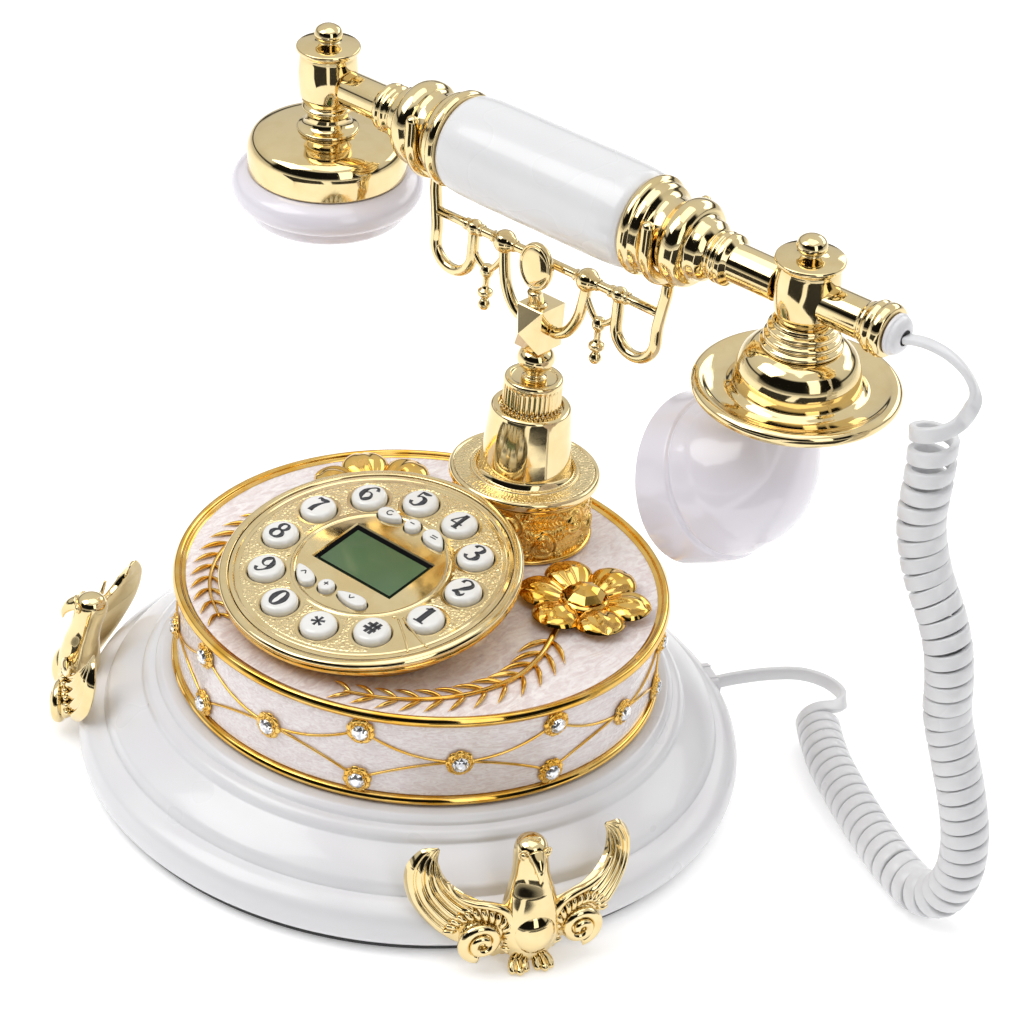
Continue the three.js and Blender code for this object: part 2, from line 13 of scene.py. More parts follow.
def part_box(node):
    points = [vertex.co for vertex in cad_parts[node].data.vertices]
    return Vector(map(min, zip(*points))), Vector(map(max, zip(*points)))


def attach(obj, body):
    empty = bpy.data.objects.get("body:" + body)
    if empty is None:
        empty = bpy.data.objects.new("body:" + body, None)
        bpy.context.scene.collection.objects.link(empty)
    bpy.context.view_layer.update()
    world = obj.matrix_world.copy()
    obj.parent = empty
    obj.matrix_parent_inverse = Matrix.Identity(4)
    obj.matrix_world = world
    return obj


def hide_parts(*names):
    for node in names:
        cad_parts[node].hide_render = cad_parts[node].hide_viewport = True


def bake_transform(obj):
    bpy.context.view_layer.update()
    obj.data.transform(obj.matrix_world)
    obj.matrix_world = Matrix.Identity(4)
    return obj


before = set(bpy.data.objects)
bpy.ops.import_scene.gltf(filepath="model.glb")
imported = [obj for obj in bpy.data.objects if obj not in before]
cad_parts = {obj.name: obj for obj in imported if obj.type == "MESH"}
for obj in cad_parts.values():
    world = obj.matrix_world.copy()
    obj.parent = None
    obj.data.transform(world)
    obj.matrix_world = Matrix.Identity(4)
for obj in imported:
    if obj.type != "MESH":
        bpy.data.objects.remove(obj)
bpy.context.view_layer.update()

MM = 0.001
TAU = 2 * math.pi
UP = np.array([0.0, 0.0, 1.0])


def millimetres(node):
    low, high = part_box(node)
    return np.array(low) / MM, np.array(high) / MM


# ---- Camera ----
CAMERA_AT = (544.0, -652.5, 616.7)
CAMERA_WAY = (-0.52525, 0.67327, -0.52041)
CAMERA_RIGHT = (0.78845, 0.61511, 0.0)
CAMERA_ROLL = math.radians(5.83)
CAMERA_LENS = 105.47


def make_camera():
    way, right = Vector(CAMERA_WAY).normalized(), Vector(CAMERA_RIGHT).normalized()
    up = right.cross(way)
    level = right * math.cos(CAMERA_ROLL) + up * math.sin(CAMERA_ROLL)
    top = -right * math.sin(CAMERA_ROLL) + up * math.cos(CAMERA_ROLL)
    data = bpy.data.cameras.new("camera")
    data.sensor_width, data.lens = 36.0, CAMERA_LENS
    data.clip_start, data.clip_end = 0.05, 30.0
    camera = bpy.data.objects.new("camera", data)
    matrix = Matrix((level, top, -way)).transposed().to_4x4()
    matrix.translation = Vector(CAMERA_AT) * MM
    camera.matrix_world = matrix
    bpy.context.scene.collection.objects.link(camera)
    bpy.context.scene.camera = camera


make_camera()


# ---- Mesh work ----
def smooth_line(points, step=1.0, closed=False):
    """Points about step apart on a Catmull-Rom curve through the given ones."""
    p = np.array(points, float)
    ends = (p[-1:], p[:2]) if closed else (2 * p[:1] - p[1:2], 2 * p[-1:] - p[-2:-1])
    q = np.concatenate([ends[0], p, ends[1]])
    out = []
    for i in range(1, len(q) - 2):
        a, b, c, d = q[i - 1], q[i], q[i + 1], q[i + 2]
        n = max(2, int(np.linalg.norm(c - b) / step))
        for t in np.arange(n) / n:
            out.append(0.5 * (2 * b + (c - a) * t + (2 * a - 5 * b + 4 * c - d) * t * t
                              + (3 * b - a - 3 * c + d) * t ** 3))
    if not closed:
        out.append(p[-1])
    return np.array(out)


def rounded(points, radius=0.4, steps=3):
    """A profile with its corners rounded; a point may carry its own radius as a third number."""
    out = [np.array(points[0][:2], float)]
    for i in range(1, len(points) - 1):
        a, b, c = (np.array(points[k][:2], float) for k in (i - 1, i, i + 1))
        r = points[i][2] if len(points[i]) > 2 else radius
        la, lc = np.linalg.norm(a - b), np.linalg.norm(c - b)
        cut = min(r, 0.45 * la, 0.45 * lc)
        if cut < 1e-4:
            out.append(b)
            continue
        start, end = b + (a - b) / la * cut, b + (c - b) / lc * cut
        for t in np.linspace(0, 1, steps + 1):
            out.append((1 - t) ** 2 * start + 2 * t * (1 - t) * b + t * t * end)
    out.append(np.array(points[-1][:2], float))
    return out


def frames_along(line, first=None):
    """Directions along a line, and two across it that turn as little as they can."""
    way = np.gradient(line, axis=0)
    way /= np.linalg.norm(way, axis=1)[:, None]
    side = np.array(first if first is not None else np.cross(way[0], UP), float)
    if np.linalg.norm(side) < 1e-6:
        side = np.array([1.0, 0, 0])
    sides = []
    for w in way:
        side = side - w * side.dot(w)
        side /= np.linalg.norm(side)
        sides.append(side)
    sides = np.array(sides)
    return way, sides, np.cross(way, sides)


class Piece:
    """Collects shapes in millimetres and builds one object from them."""

    def __init__(self):
        self.points, self.faces, self.finishes, self.flats = [], [], [], []
        self.count = 0
        self.at = np.eye(4)

    def place(self, matrix):
        self.at = np.array(matrix, float)
        return self

    def add(self, points, faces, finish=0, flat=False):
        points = np.array(points, float) @ self.at[:3, :3].T + self.at[:3, 3]
        flip = np.linalg.det(self.at[:3, :3]) < 0
        self.points.append(points)
        for face in faces:
            face = [f + self.count for f in face]
            self.faces.append(face[::-1] if flip else face)
            self.finishes.append(finish)
            self.flats.append(flat)
        self.count += len(points)
        return self

    def lathe(self, profile, sides=96, finish=0, wave=None, flat=False):
        """Turns [radius, height] points about Z; wave(angle, index) scales the radius."""
        profile = [p for i, p in enumerate(profile)
                   if i == 0 or np.linalg.norm(np.subtract(p[:2], profile[i - 1][:2])) > 1e-5]
        points, rows, faces = [], [], []
        for i, (r, z) in enumerate((p[0], p[1]) for p in profile):
            if r < 1e-6:
                rows.append([len(points)] * sides)
                points.append((0, 0, z))
                continue
            rows.append(list(range(len(points), len(points) + sides)))
            for k in range(sides):
                a = TAU * k / sides
                s = r * (wave(a, i) if wave else 1)
                points.append((s * math.cos(a), s * math.sin(a), z))
        for low, high in zip(rows, rows[1:]):
            for k in range(sides):
                n = (k + 1) % sides
                ring = [low[k], low[n], high[n], high[k]]
                ring = [v for j, v in enumerate(ring) if v != ring[j - 1]]
                if len(ring) > 2:
                    faces.append(ring)
        return self.add(points, faces, finish, flat)

    def tube(self, line, radius, sides, closed=False):
        """A round bar along a line. radius is a number, or one for each point."""
        line = np.array(line, float)
        radius = np.broadcast_to(np.array(radius, float), (len(line),))
        _, across, over = frames_along(line)
        a = (TAU * np.arange(sides) / sides)[None, :, None]
        points = (line[:, None] + radius[:, None, None]
                  * (np.cos(a) * across[:, None] + np.sin(a) * over[:, None])).reshape(-1, 3)
        last = len(line) - 1
        faces = []
        for i in range(last + closed):
            j = (i + 1) % len(line)
            for k in range(sides):
                n = (k + 1) % sides
                faces.append([i * sides + k, i * sides + n, j * sides + n, j * sides + k])
        if not closed:
            tip = len(points)
            points = np.concatenate([points, line[:1], line[-1:]])
            for k in range(sides):
                n = (k + 1) % sides
                faces += [[tip, n, k], [tip + 1, last * sides + k, last * sides + n]]
        return self.add(points, faces)

    def rounded_bar(self, line, radius, sides):
        """A bar with round ends."""
        line = np.array(line, float)
        angles = np.linspace(0.12, math.pi / 2, 5)
        start = line[0] - line[1]
        end = line[-1] - line[-2]
        start, end = start / np.linalg.norm(start), end / np.linalg.norm(end)
        head = [line[0] + start * radius * math.cos(a) for a in angles[:-1]]
        tail = [line[-1] + end * radius * math.cos(a) for a in angles[:-1]][::-1]
        radii = ([radius * math.sin(a) for a in angles[:-1]] + [radius] * len(line)
                 + [radius * math.sin(a) for a in angles[:-1]][::-1])
        return self.tube(np.array(head + list(line) + tail), radii, sides)

    def ball(self, centre, size, finish=0, sides=32):
        size = np.broadcast_to(np.array(size, float), (3,))
        profile = [(math.sin(a), -math.cos(a)) for a in np.linspace(0, math.pi, sides // 2 + 1)]
        profile[0], profile[-1] = (0, -1), (0, 1)
        keep = self.at
        self.at = keep @ move(*centre) @ np.diag([*size, 1.0])
        self.lathe(profile, sides, finish)
        self.at = keep
        return self

    def sheet(self, grid, finish=0, closed_u=False):
        """A surface through a grid of points, [rows][columns][xyz]."""
        grid = np.array(grid, float)
        rows, columns = grid.shape[:2]
        faces = []
        for i in range(rows - 1):
            for k in range(columns - 1 + closed_u):
                n = (k + 1) % columns
                faces.append([i * columns + k, i * columns + n, (i + 1) * columns + n,
                              (i + 1) * columns + k])
        return self.add(grid.reshape(-1, 3), faces, finish)

    def solid(self, rings, finish=0):
        """A closed skin through rings of points, with both ends filled."""
        order = list(range(len(rings[0])))
        self.sheet(rings, finish, closed_u=True)
        self.add(rings[0], [order[::-1]], finish)
        return self.add(rings[-1], [order], finish)

    def build(self, name, materials, smooth=True):
        mesh = bpy.data.meshes.new(name)
        points = np.concatenate(self.points) * MM
        mesh.from_pydata(points.tolist(), [], self.faces)
        for m in materials:
            mesh.materials.append(m)
        mesh.polygons.foreach_set("material_index", self.finishes)
        mesh.polygons.foreach_set("use_smooth", [smooth and not f for f in self.flats])
        mesh.update()
        piece = bpy.data.objects.new(name, mesh)
        bpy.context.scene.collection.objects.link(piece)
        return piece


def polar(radius, angle):
    return radius * math.cos(angle), radius * math.sin(angle)


def ring_of(radius, count, start=0.0):
    """Points evenly round a circle."""
    return [polar(radius, start + TAU * k / count) for k in range(count)]


def box_corners(half_width, half_depth):
    return [(sx * half_width, sy * half_depth) for sx, sy in ((-1, -1), (1, -1), (1, 1), (-1, 1))]


def spread_along(line, places, values):
    """Values given at fractions of a line, for each of its points."""
    return np.interp(np.linspace(0, 1, len(line)), places, values)


def move(x=0.0, y=0.0, z=0.0):
    m = np.eye(4)
    m[:3, 3] = (x, y, z)
    return m


def turn(axis, degrees):
    return np.array(Matrix.Rotation(math.radians(degrees), 4, axis))


def scale(x, y, z):
    return np.diag([x, y, z, 1.0])


def settle(piece, body, slot, *nodes):
    """The piece rides on a body and stands for CAD nodes; slot is not used."""
    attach(piece, body)
    if nodes:
        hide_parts(*nodes)


def turned_part(name, at, profile, sides, material, home, corner=0.4, steps=3):
    """A piece turned on an axis; home is its body, its slot and the CAD node it stands for."""
    piece = Piece().place(at).lathe(rounded(profile, corner, steps), sides)
    settle(piece.build(name, [material]), *home)


# ---- Materials ----
def ramp_in(tree, value, stops):
    """A colour ramp with stops of place and colour."""
    ramp = tree.nodes.new("ShaderNodeValToRGB")
    elements = ramp.color_ramp.elements
    while len(elements) < len(stops):
        elements.new(0.5)
    for element, (at, colour) in zip(elements, stops):
        element.position, element.color = at, (*colour, 1)
    tree.links.new(value, ramp.inputs["Fac"])
    return ramp.outputs["Color"]


class Finish:
    """A principled material with a few short ways to wire detail into it."""

    def __init__(self, name, colour, roughness, metallic=0.0, **sockets):
        self.material = bpy.data.materials.new(name)
        self.material.use_nodes = True
        self.tree = self.material.node_tree
        self.shader = self.tree.nodes["Principled BSDF"]
        self.shader.inputs["Base Color"].default_value = (*colour, 1)
        self.shader.inputs["Roughness"].default_value = roughness
        self.shader.inputs["Metallic"].default_value = metallic
        for key, value in sockets.items():
            self.shader.inputs[key.replace("_", " ")].default_value = value
        self.coordinates = None

    def node(self, kind, **settings):
        n = self.tree.nodes.new("ShaderNode" + kind)
        for key, value in settings.items():
            if key in n.inputs:
                n.inputs[key].default_value = value
            else:
                setattr(n, key, value)
        return n

    def link(self, a, b):
        self.tree.links.new(a, b)

    def place(self):
        if self.coordinates is None:
            self.coordinates = self.node("TexCoord").outputs["Object"]
        return self.coordinates

    def stretched(self, factors):
        mapping = self.node("Mapping")
        mapping.inputs["Scale"].default_value = factors
        self.link(self.place(), mapping.inputs["Vector"])
        return mapping.outputs["Vector"]

    def noise(self, size_mm, detail=3.0, vector=None, distortion=0.0):
        n = self.node("TexNoise", Scale=1 / (size_mm * MM), Detail=detail, Distortion=distortion)
        self.link(vector or self.place(), n.inputs["Vector"])
        return n.outputs["Fac"]

    def cells(self, size_mm):
        n = self.node("TexVoronoi", Scale=1 / (size_mm * MM))
        self.link(self.place(), n.inputs["Vector"])
        return n.outputs["Distance"]

    def ramp(self, value, stops):
        return ramp_in(self.tree, value, stops)

    def vary_colour(self, value, dark, light, low=0.3, high=0.7):
        self.link(self.ramp(value, [(low, dark), (high, light)]), self.shader.inputs["Base Color"])
        return self

    def vary_roughness(self, value, low, high):
        r = self.node("MapRange")
        r.inputs["From Min"].default_value, r.inputs["From Max"].default_value = 0.3, 0.7
        r.inputs["To Min"].default_value, r.inputs["To Max"].default_value = low, high
        self.link(value, r.inputs["Value"])
        self.link(r.outputs["Result"], self.shader.inputs["Roughness"])
        return self

    def bump(self, value, depth_mm, strength=1.0):
        b = self.node("Bump", Strength=strength, Distance=depth_mm * MM)
        self.link(value, b.inputs["Height"])
        previous = self.shader.inputs["Normal"]
        if previous.is_linked:
            self.link(previous.links[0].from_socket, b.inputs["Normal"])
        self.link(b.outputs["Normal"], self.shader.inputs["Normal"])
        return self


def gold(name, colour, shade, roughness=0.05):
    f = Finish(name, colour, roughness, 1.0)
    f.vary_colour(f.noise(9, 2), shade, colour, 0.35, 0.6)
    f.vary_roughness(f.noise(3.5, 4), roughness, roughness + 0.05)
    f.bump(f.noise(6, 2), 0.02, 0.35)
    return f.material


PALE = (0.83, 0.675, 0.375)
RICH = (0.82, 0.535, 0.15)
pale_gold = gold("pale_gold", PALE, (0.79, 0.62, 0.32))
rich_gold = gold("rich_gold", RICH, (0.76, 0.42, 0.06))


def textured_gold():
    f = Finish("pebbled_gold", PALE, 0.18, 1.0)
    f.vary_roughness(f.noise(2, 4), 0.12, 0.28)
    f.bump(f.cells(0.9), 0.2, 0.7)
    f.bump(f.noise(0.5, 3), 0.05, 0.4)
    return f.material


pebbled_gold = textured_gold()


def antique_gold():
    """Deep gold, darker in random patches, for the cast filigree."""
    f = Finish("filigree_gold", RICH, 0.12, 1.0)
    f.vary_colour(f.noise(1.2, 4), (0.55, 0.30, 0.05), RICH, 0.3, 0.5)
    f.vary_roughness(f.noise(1.5, 3), 0.08, 0.26)
    f.bump(f.noise(0.9, 4), 0.12, 0.5)
    return f.material


filigree_gold = antique_gold()


def enamel():
    """Pinkish-white pearl enamel with short brush strokes."""
    f = Finish("pearl_enamel", (0.84, 0.76, 0.75), 0.22, 0.0, Coat_Weight=0.6,
               Coat_Roughness=0.08, Sheen_Weight=0.15)
    strokes = f.noise(3.2, 4, f.stretched((1.0, 0.34, 2.6)), 2.2)
    f.vary_colour(strokes, (0.76, 0.655, 0.645), (0.93, 0.88, 0.87), 0.36, 0.62)
    f.vary_roughness(f.noise(2.0, 3), 0.18, 0.34)
    f.bump(strokes, 0.08, 0.5)
    return f.material


pearl_enamel = enamel()


def plastic(name, colour, shade, roughness, coat=0.4, grain=0.0, **sockets):
    f = Finish(name, colour, roughness, 0.0, Coat_Weight=coat, Coat_Roughness=0.05, **sockets)
    f.vary_colour(f.noise(26, 1), shade, colour, 0.3, 0.65)
    f.vary_roughness(f.noise(18, 1), roughness * 0.9, roughness * 1.15)
    f.bump(f.noise(14, 1), 0.03, 0.1)
    if grain:
        f.bump(f.noise(grain, 2), 0.01, 0.5)
    return f.material


satin_white = plastic("satin_white", (0.77, 0.77, 0.785), (0.74, 0.73, 0.75), 0.3, 0.4)
grip_white = plastic("pearl_white", (0.76, 0.76, 0.77), (0.74, 0.74, 0.75), 0.27, 0.4)
gloss_white = plastic("gloss_white", (0.80, 0.765, 0.83), (0.78, 0.745, 0.81), 0.2, 0.6)
key_white = plastic("key_white", (0.84, 0.83, 0.80), (0.81, 0.80, 0.76), 0.14, 0.6)
digit_ink = plastic("digit_ink", (0.02, 0.022, 0.03), (0.015, 0.016, 0.02), 0.3, 0.3)
shadow_black = plastic("shadow_black", (0.006, 0.006, 0.006), (0.004, 0.004, 0.004), 0.8, 0.0,
                       Specular_IOR_Level=0.05)
black_plastic = plastic("black_plastic", (0.02, 0.02, 0.02), (0.012, 0.012, 0.012), 0.4, 0.1, 0.5)
cord_vinyl = plastic("cord_vinyl", (0.75, 0.75, 0.76), (0.71, 0.71, 0.725), 0.3, 0.3, 0.7)


def circuit_board():
    f = Finish("circuit_board", (0.03, 0.18, 0.06), 0.4, 0.0, Coat_Weight=0.5)
    f.vary_colour(f.cells(4), (0.05, 0.26, 0.09), (0.02, 0.12, 0.04), 0.3, 0.5)
    f.bump(f.cells(2), 0.1)
    return f.material


def display():
    f = Finish("display_glass", (0.07, 0.14, 0.055), 0.2, 0.0, Coat_Weight=0.25,
               Coat_Roughness=0.05)
    f.vary_colour(f.noise(30, 1), (0.055, 0.115, 0.045), (0.085, 0.17, 0.07), 0.3, 0.7)
    f.bump(f.noise(10, 1), 0.02, 0.2)
    return f.material


def stone():
    f = Finish("clear_stone", (0.95, 0.96, 0.98), 0.03, 0.85)
    f.vary_colour(f.noise(1.6, 1), (0.55, 0.56, 0.60), (1.0, 1.0, 1.0), 0.4, 0.6)
    return f.material


board_green = circuit_board()
display_glass = display()
clear_stone = stone()


# ---- Cord: a ribbon from the gland, its coil down to the table and along it, a ribbon to the jack ----
COLUMN_Y = 49.3
RIBBON_HALF_WIDTH = 2.45
RIBBON_HALF_THICKNESS = 1.1
COIL_MIDDLE_RADIUS = 7.3
COIL_PITCH = 5.4
OPEN_TOP_PITCH = 4.2  # what the first turns' pitch has on top
HANDSET_LEAD = [
    (139.3, 202.4), (146, 204), (155, 203.2), (162.6, 199.4), (166.2, 193.6), (164.6, 188),
]
COIL_ROUTE = [
    (154, 49, 180.4), (155, 49, 173), (155.5, 49, 162), (155.5, 49, 148), (157.5, 49.3, 138),
    (161.5, 49.6, 128), (168, 50, 117), (172.5, 50, 107), (174.8, 50.4, 96), (176.4, 51, 83),
    (181.5, 52, 68), (186.6, 53, 53), (189.6, 54, 39), (189.4, 54.6, 25), (184.4, 55.4, 13.2),
    (175, 57, 8.8), (164, 61, 8.8), (154, 66, 8.8), (142, 73, 8.8), (128, 82, 8.8),
    (114, 92, 8.8), (104, 101, 8.8), (96.6, 108.6, 8.8),
]
BASE_LEAD = [
    (98.6, 114, 14.4), (98.6, 120.4, 13.4), (93.4, 126.6, 12), (84.6, 129.6, 11), (75, 127, 10.6),
    (67, 118, 10.5), (60.4, 106.4, 10.5), (57.5, 99.7, 10.5),
]


def coil_line():
    """The ribbon's middle round the coil, and the direction of its width at each point."""
    axis = smooth_line(COIL_ROUTE, 0.5)
    way, side, over = frames_along(axis, (1, 0, 0))
    along = np.concatenate([[0], np.cumsum(np.linalg.norm(np.diff(axis, axis=0), axis=1))])
    pitch = COIL_PITCH + OPEN_TOP_PITCH * np.exp(-along / 16)
    angle = np.concatenate([[0], np.cumsum(TAU * np.diff(along) / pitch[1:])])
    last = math.atan2(UP.dot(over[-1]), UP.dot(side[-1]))
    turns = round((angle[-1] - last) / TAU)
    angle *= (last + turns * TAU) / angle[-1]
    steps = np.linspace(0, angle[-1], int(turns * 26))
    middle, widths = [], []
    for a in steps:
        c, s, o, w = (np.array([np.interp(a, angle, v[:, k]) for k in range(3)])
                      for v in (axis, side, over, way))
        out = s * math.cos(a) + o * math.sin(a)
        middle.append(c + COIL_MIDDLE_RADIUS * out)
        widths.append(w)
    return np.array(middle), np.array(widths)


def ribbon_line():
    """The whole cord's middle line, and the directions across the ribbon and through it."""
    coil, coil_widths = coil_line()
    upper = [(x, COLUMN_Y, z) for x, z in HANDSET_LEAD] + [(162.6, 50.6, 183.6)]
    upper = smooth_line(upper + [coil[0], coil[4]], 1.2)
    keep = np.linalg.norm(upper - coil[0], axis=1).argmin()
    upper = upper[:keep]
    lower = smooth_line([coil[-5], coil[-1]] + BASE_LEAD, 1.2)
    lower = lower[np.linalg.norm(lower - coil[-1], axis=1).argmin() + 1:]
    line = np.concatenate([upper, coil, lower])
    t = np.linspace(0, 1, len(upper))[:, None] ** 1.5
    first = (1 - t) * np.array([0, 1, 0]) + t * coil_widths[0]
    t = np.clip(np.linspace(0, 2.2, len(lower)), 0, 1)[:, None]
    final = (1 - t) * coil_widths[-1] + t * UP
    widths = np.concatenate([first, coil_widths, final])
    for _ in range(6):
        line[1:-1] = 0.5 * line[1:-1] + 0.25 * (line[:-2] + line[2:])
        widths[1:-1] = 0.5 * widths[1:-1] + 0.25 * (widths[:-2] + widths[2:])
    way = np.gradient(line, axis=0)
    way /= np.linalg.norm(way, axis=1)[:, None]
    widths -= way * (way * widths).sum(1)[:, None]
    widths /= np.linalg.norm(widths, axis=1)[:, None]
    return line, widths, np.cross(way, widths)


def make_cord():
    line, widths, thins = ribbon_line()
    w, h = RIBBON_HALF_WIDTH, RIBBON_HALF_THICKNESS
    section = [(w * sx * a, h * sy * b)
               for sx, sy, steps in ((1, 1, ((1, .45), (.93, .82), (.78, 1))),
                                     (-1, 1, ((.78, 1), (.93, .82), (1, .45))),
                                     (-1, -1, ((1, .45), (.93, .82), (.78, 1))),
                                     (1, -1, ((.78, 1), (.93, .82), (1, .45))))
               for a, b in steps]
    rings = np.array([[c + a * u + b * v for a, b in section]
                      for c, u, v in zip(line, widths, thins)])
    cord = Piece().solid(rings).build("curly_cord", [cord_vinyl])
    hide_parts("cord_lead_handset", "cord_coil", "cord_lead_base")
    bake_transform(cord)


make_cord()


# ---- Floor and lights ----
def make_floor():
    mesh = bpy.data.meshes.new("floor")
    corners = [(x, y, 0) for x, y in box_corners(FLOOR_HALF_SIZE, FLOOR_HALF_SIZE)]
    mesh.from_pydata(corners, [], [(0, 1, 2, 3)])
    floor = bpy.data.objects.new("floor", mesh)
    finish = Finish("floor_paint", (0.93, 0.93, 0.935), 0.75)
    finish.vary_roughness(finish.noise(40, 2), 0.72, 0.8)
    finish.shader.inputs["Emission Color"].default_value = (1, 1, 1, 1)
    finish.shader.inputs["Emission Strength"].default_value = FLOOR_GLOW
    mesh.materials.append(finish.material)
    bpy.context.scene.collection.objects.link(floor)


def softbox(name, at, aim, size, power):
    data = bpy.data.lights.new(name, "AREA")
    data.shape, data.size, data.size_y = "RECTANGLE", size[0], size[1]
    data.energy, data.spread = power, math.pi
    light = bpy.data.objects.new(name, data)
    way = Vector(aim) - Vector(at)
    light.rotation_euler = way.to_track_quat("-Z", "Y").to_euler()
    light.location = at
    bpy.context.scene.collection.objects.link(light)


# Brightness of the studio against the height of a direction, all round and on its dark side.
AROUND = [(0.0, 0.9), (0.10, 0.8), (0.13, 0.08), (0.21, 0.06), (0.26, 0.85), (0.7, 1.0),
          (1.0, 1.0)]
AHEAD = [(0.0, 0.5), (0.05, 0.3), (0.09, 0.01), (0.66, 0.01), (0.74, 1.0), (1.0, 1.0)]
DARK_SIDE = [(0.0, 0.0), (0.12, 0.0), (0.24, 1.0), (1.0, 1.0)]
TOWARDS_DARK = (0.64, -0.77, 0.0)
STUDIO_STRENGTH = 0.8
SOFTBOXES = [  # name, place and aim in metres, width and height, watts
    ("key_light", (-0.55, -0.75, 1.25), (0, 0, 0.08), (0.9, 0.9), 8),
    ("fill_light", (1.3, -0.5, 0.8), (0, 0, 0.12), (0.5, 1.2), 3.5),
    ("back_light", (0.2, 1.4, 0.9), (0, 0, 0.12), (1.4, 0.5), 4),
    ("top_light", (0, 0, 1.6), (0, 0, 0), (1.2, 1.2), 5),
]
BEFORE_PHONE = math.degrees(math.atan2(-652, 544))
CARDS = {"left": (-64, -7), "right": (7, 58)}  # where each starts and stops, in degrees from there
CARD_REACH = (290, 1300)
FLOOR_HALF_SIZE = 4.0
FLOOR_GLOW = 0.3


def make_surroundings():
    """A pale studio that is dark in bands, so that polished metal has something to show."""
    world = bpy.data.worlds.new("studio")
    bpy.context.scene.world = world
    world.use_nodes = True
    tree = world.node_tree
    coordinates = tree.nodes.new("ShaderNodeTexCoord")
    split = tree.nodes.new("ShaderNodeSeparateXYZ")
    tree.links.new(coordinates.outputs["Generated"], split.inputs["Vector"])

    def grey_ramp(value, stops):
        return ramp_in(tree, value, [(at, (grey, grey, grey)) for at, grey in stops])

    around = grey_ramp(split.outputs["Z"], AROUND)
    ahead = grey_ramp(split.outputs["Z"], AHEAD)
    facing = tree.nodes.new("ShaderNodeVectorMath")
    facing.operation = "DOT_PRODUCT"
    facing.inputs[1].default_value = TOWARDS_DARK
    tree.links.new(coordinates.outputs["Generated"], facing.inputs[0])
    mix = tree.nodes.new("ShaderNodeMix")
    mix.data_type = "RGBA"
    tree.links.new(grey_ramp(facing.outputs["Value"], DARK_SIDE), mix.inputs["Factor"])
    tree.links.new(around, mix.inputs["A"])
    tree.links.new(ahead, mix.inputs["B"])
    background = tree.nodes["Background"]
    background.inputs["Strength"].default_value = STUDIO_STRENGTH
    tree.links.new(mix.outputs["Result"], background.inputs["Color"])
    for light in SOFTBOXES:
        softbox(*light)


def make_cards():
    """Two black cards lie before the phone, where only polished surfaces can see them."""
    card_finish = Finish("card_black", (0.012, 0.011, 0.010), 0.9)
    card_finish.vary_roughness(card_finish.noise(30, 2), 0.85, 0.95)
    for name, (start, stop) in CARDS.items():
        angles = [math.radians(BEFORE_PHONE + a) for a in np.linspace(start, stop, 20)]
        piece = Piece().sheet([[(*polar(r, a), 2.0) for a in angles] for r in CARD_REACH])
        card = piece.build(f"card_{name}", [card_finish.material])
        card.visible_camera = card.visible_diffuse = card.visible_shadow = False


make_floor()
make_surroundings()
make_cards()
bpy.context.scene.view_settings.view_transform = "Standard"


# ---- Plinth and base plate ----
PAD_CIRCLE = 92


def make_plinth():
    top = millimetres("plinth_shell")[1][2]
    outside = [
        (109, 2.8), (110.8, 2.8, .4), (113.6, 5.4, 2.5), (114, 9.6, 3), (112.4, 14.4, 2.6),
        (108.4, 17.0, 2), (105.4, 17.6, .3), (105.2, 18.6, .8), (104.4, 21.4, 2.6), (101.2, 24.2, 2.5),
        (97.4, 26.8, 2.5), (93.2, 29.2, .5), (92.9, 29.6, .3), (92.6, 31, .8),
        (91, 32.8, 1.2), (88.6, 33.4, .3), (88.4, 34.6, .7), (86.6, top, .7), (76, top, .5),
        (75.5, 33.6, .4), (85, 30.4), (100, 20), (108, 8), (108, 3.2), (109, 2.8),
    ]
    turned_part("plinth_cover", np.eye(4), outside, 200, satin_white,
                ("base", "satin_white", "plinth_shell"), 0.4, 5)
    radius, _, thick = millimetres("base_plate")[1]
    profile = [(0, 0), (radius - 1.2, 0), (radius, 0.9), (radius, thick - 0.5),
               (radius - 0.5, thick), (0, thick)]
    plate = Piece().lathe(rounded(profile, 0.4), 200)
    for x, y in ring_of(PAD_CIRCLE, 3, math.radians(30)):
        plate.place(move(x, y, 0))
        plate.lathe(rounded([(0, 0.01), (4.2, 0.01), (4.2, 0.4), (2, 0.5), (0, 0.5)], 0.2), 40)
    settle(plate.build("base_disc", [black_plastic]), "base", "black_plastic", "base_plate")


make_plinth()


# ---- Drum ----
WALL_RADIUS = 81.5
ENAMEL_TOP = 69.5


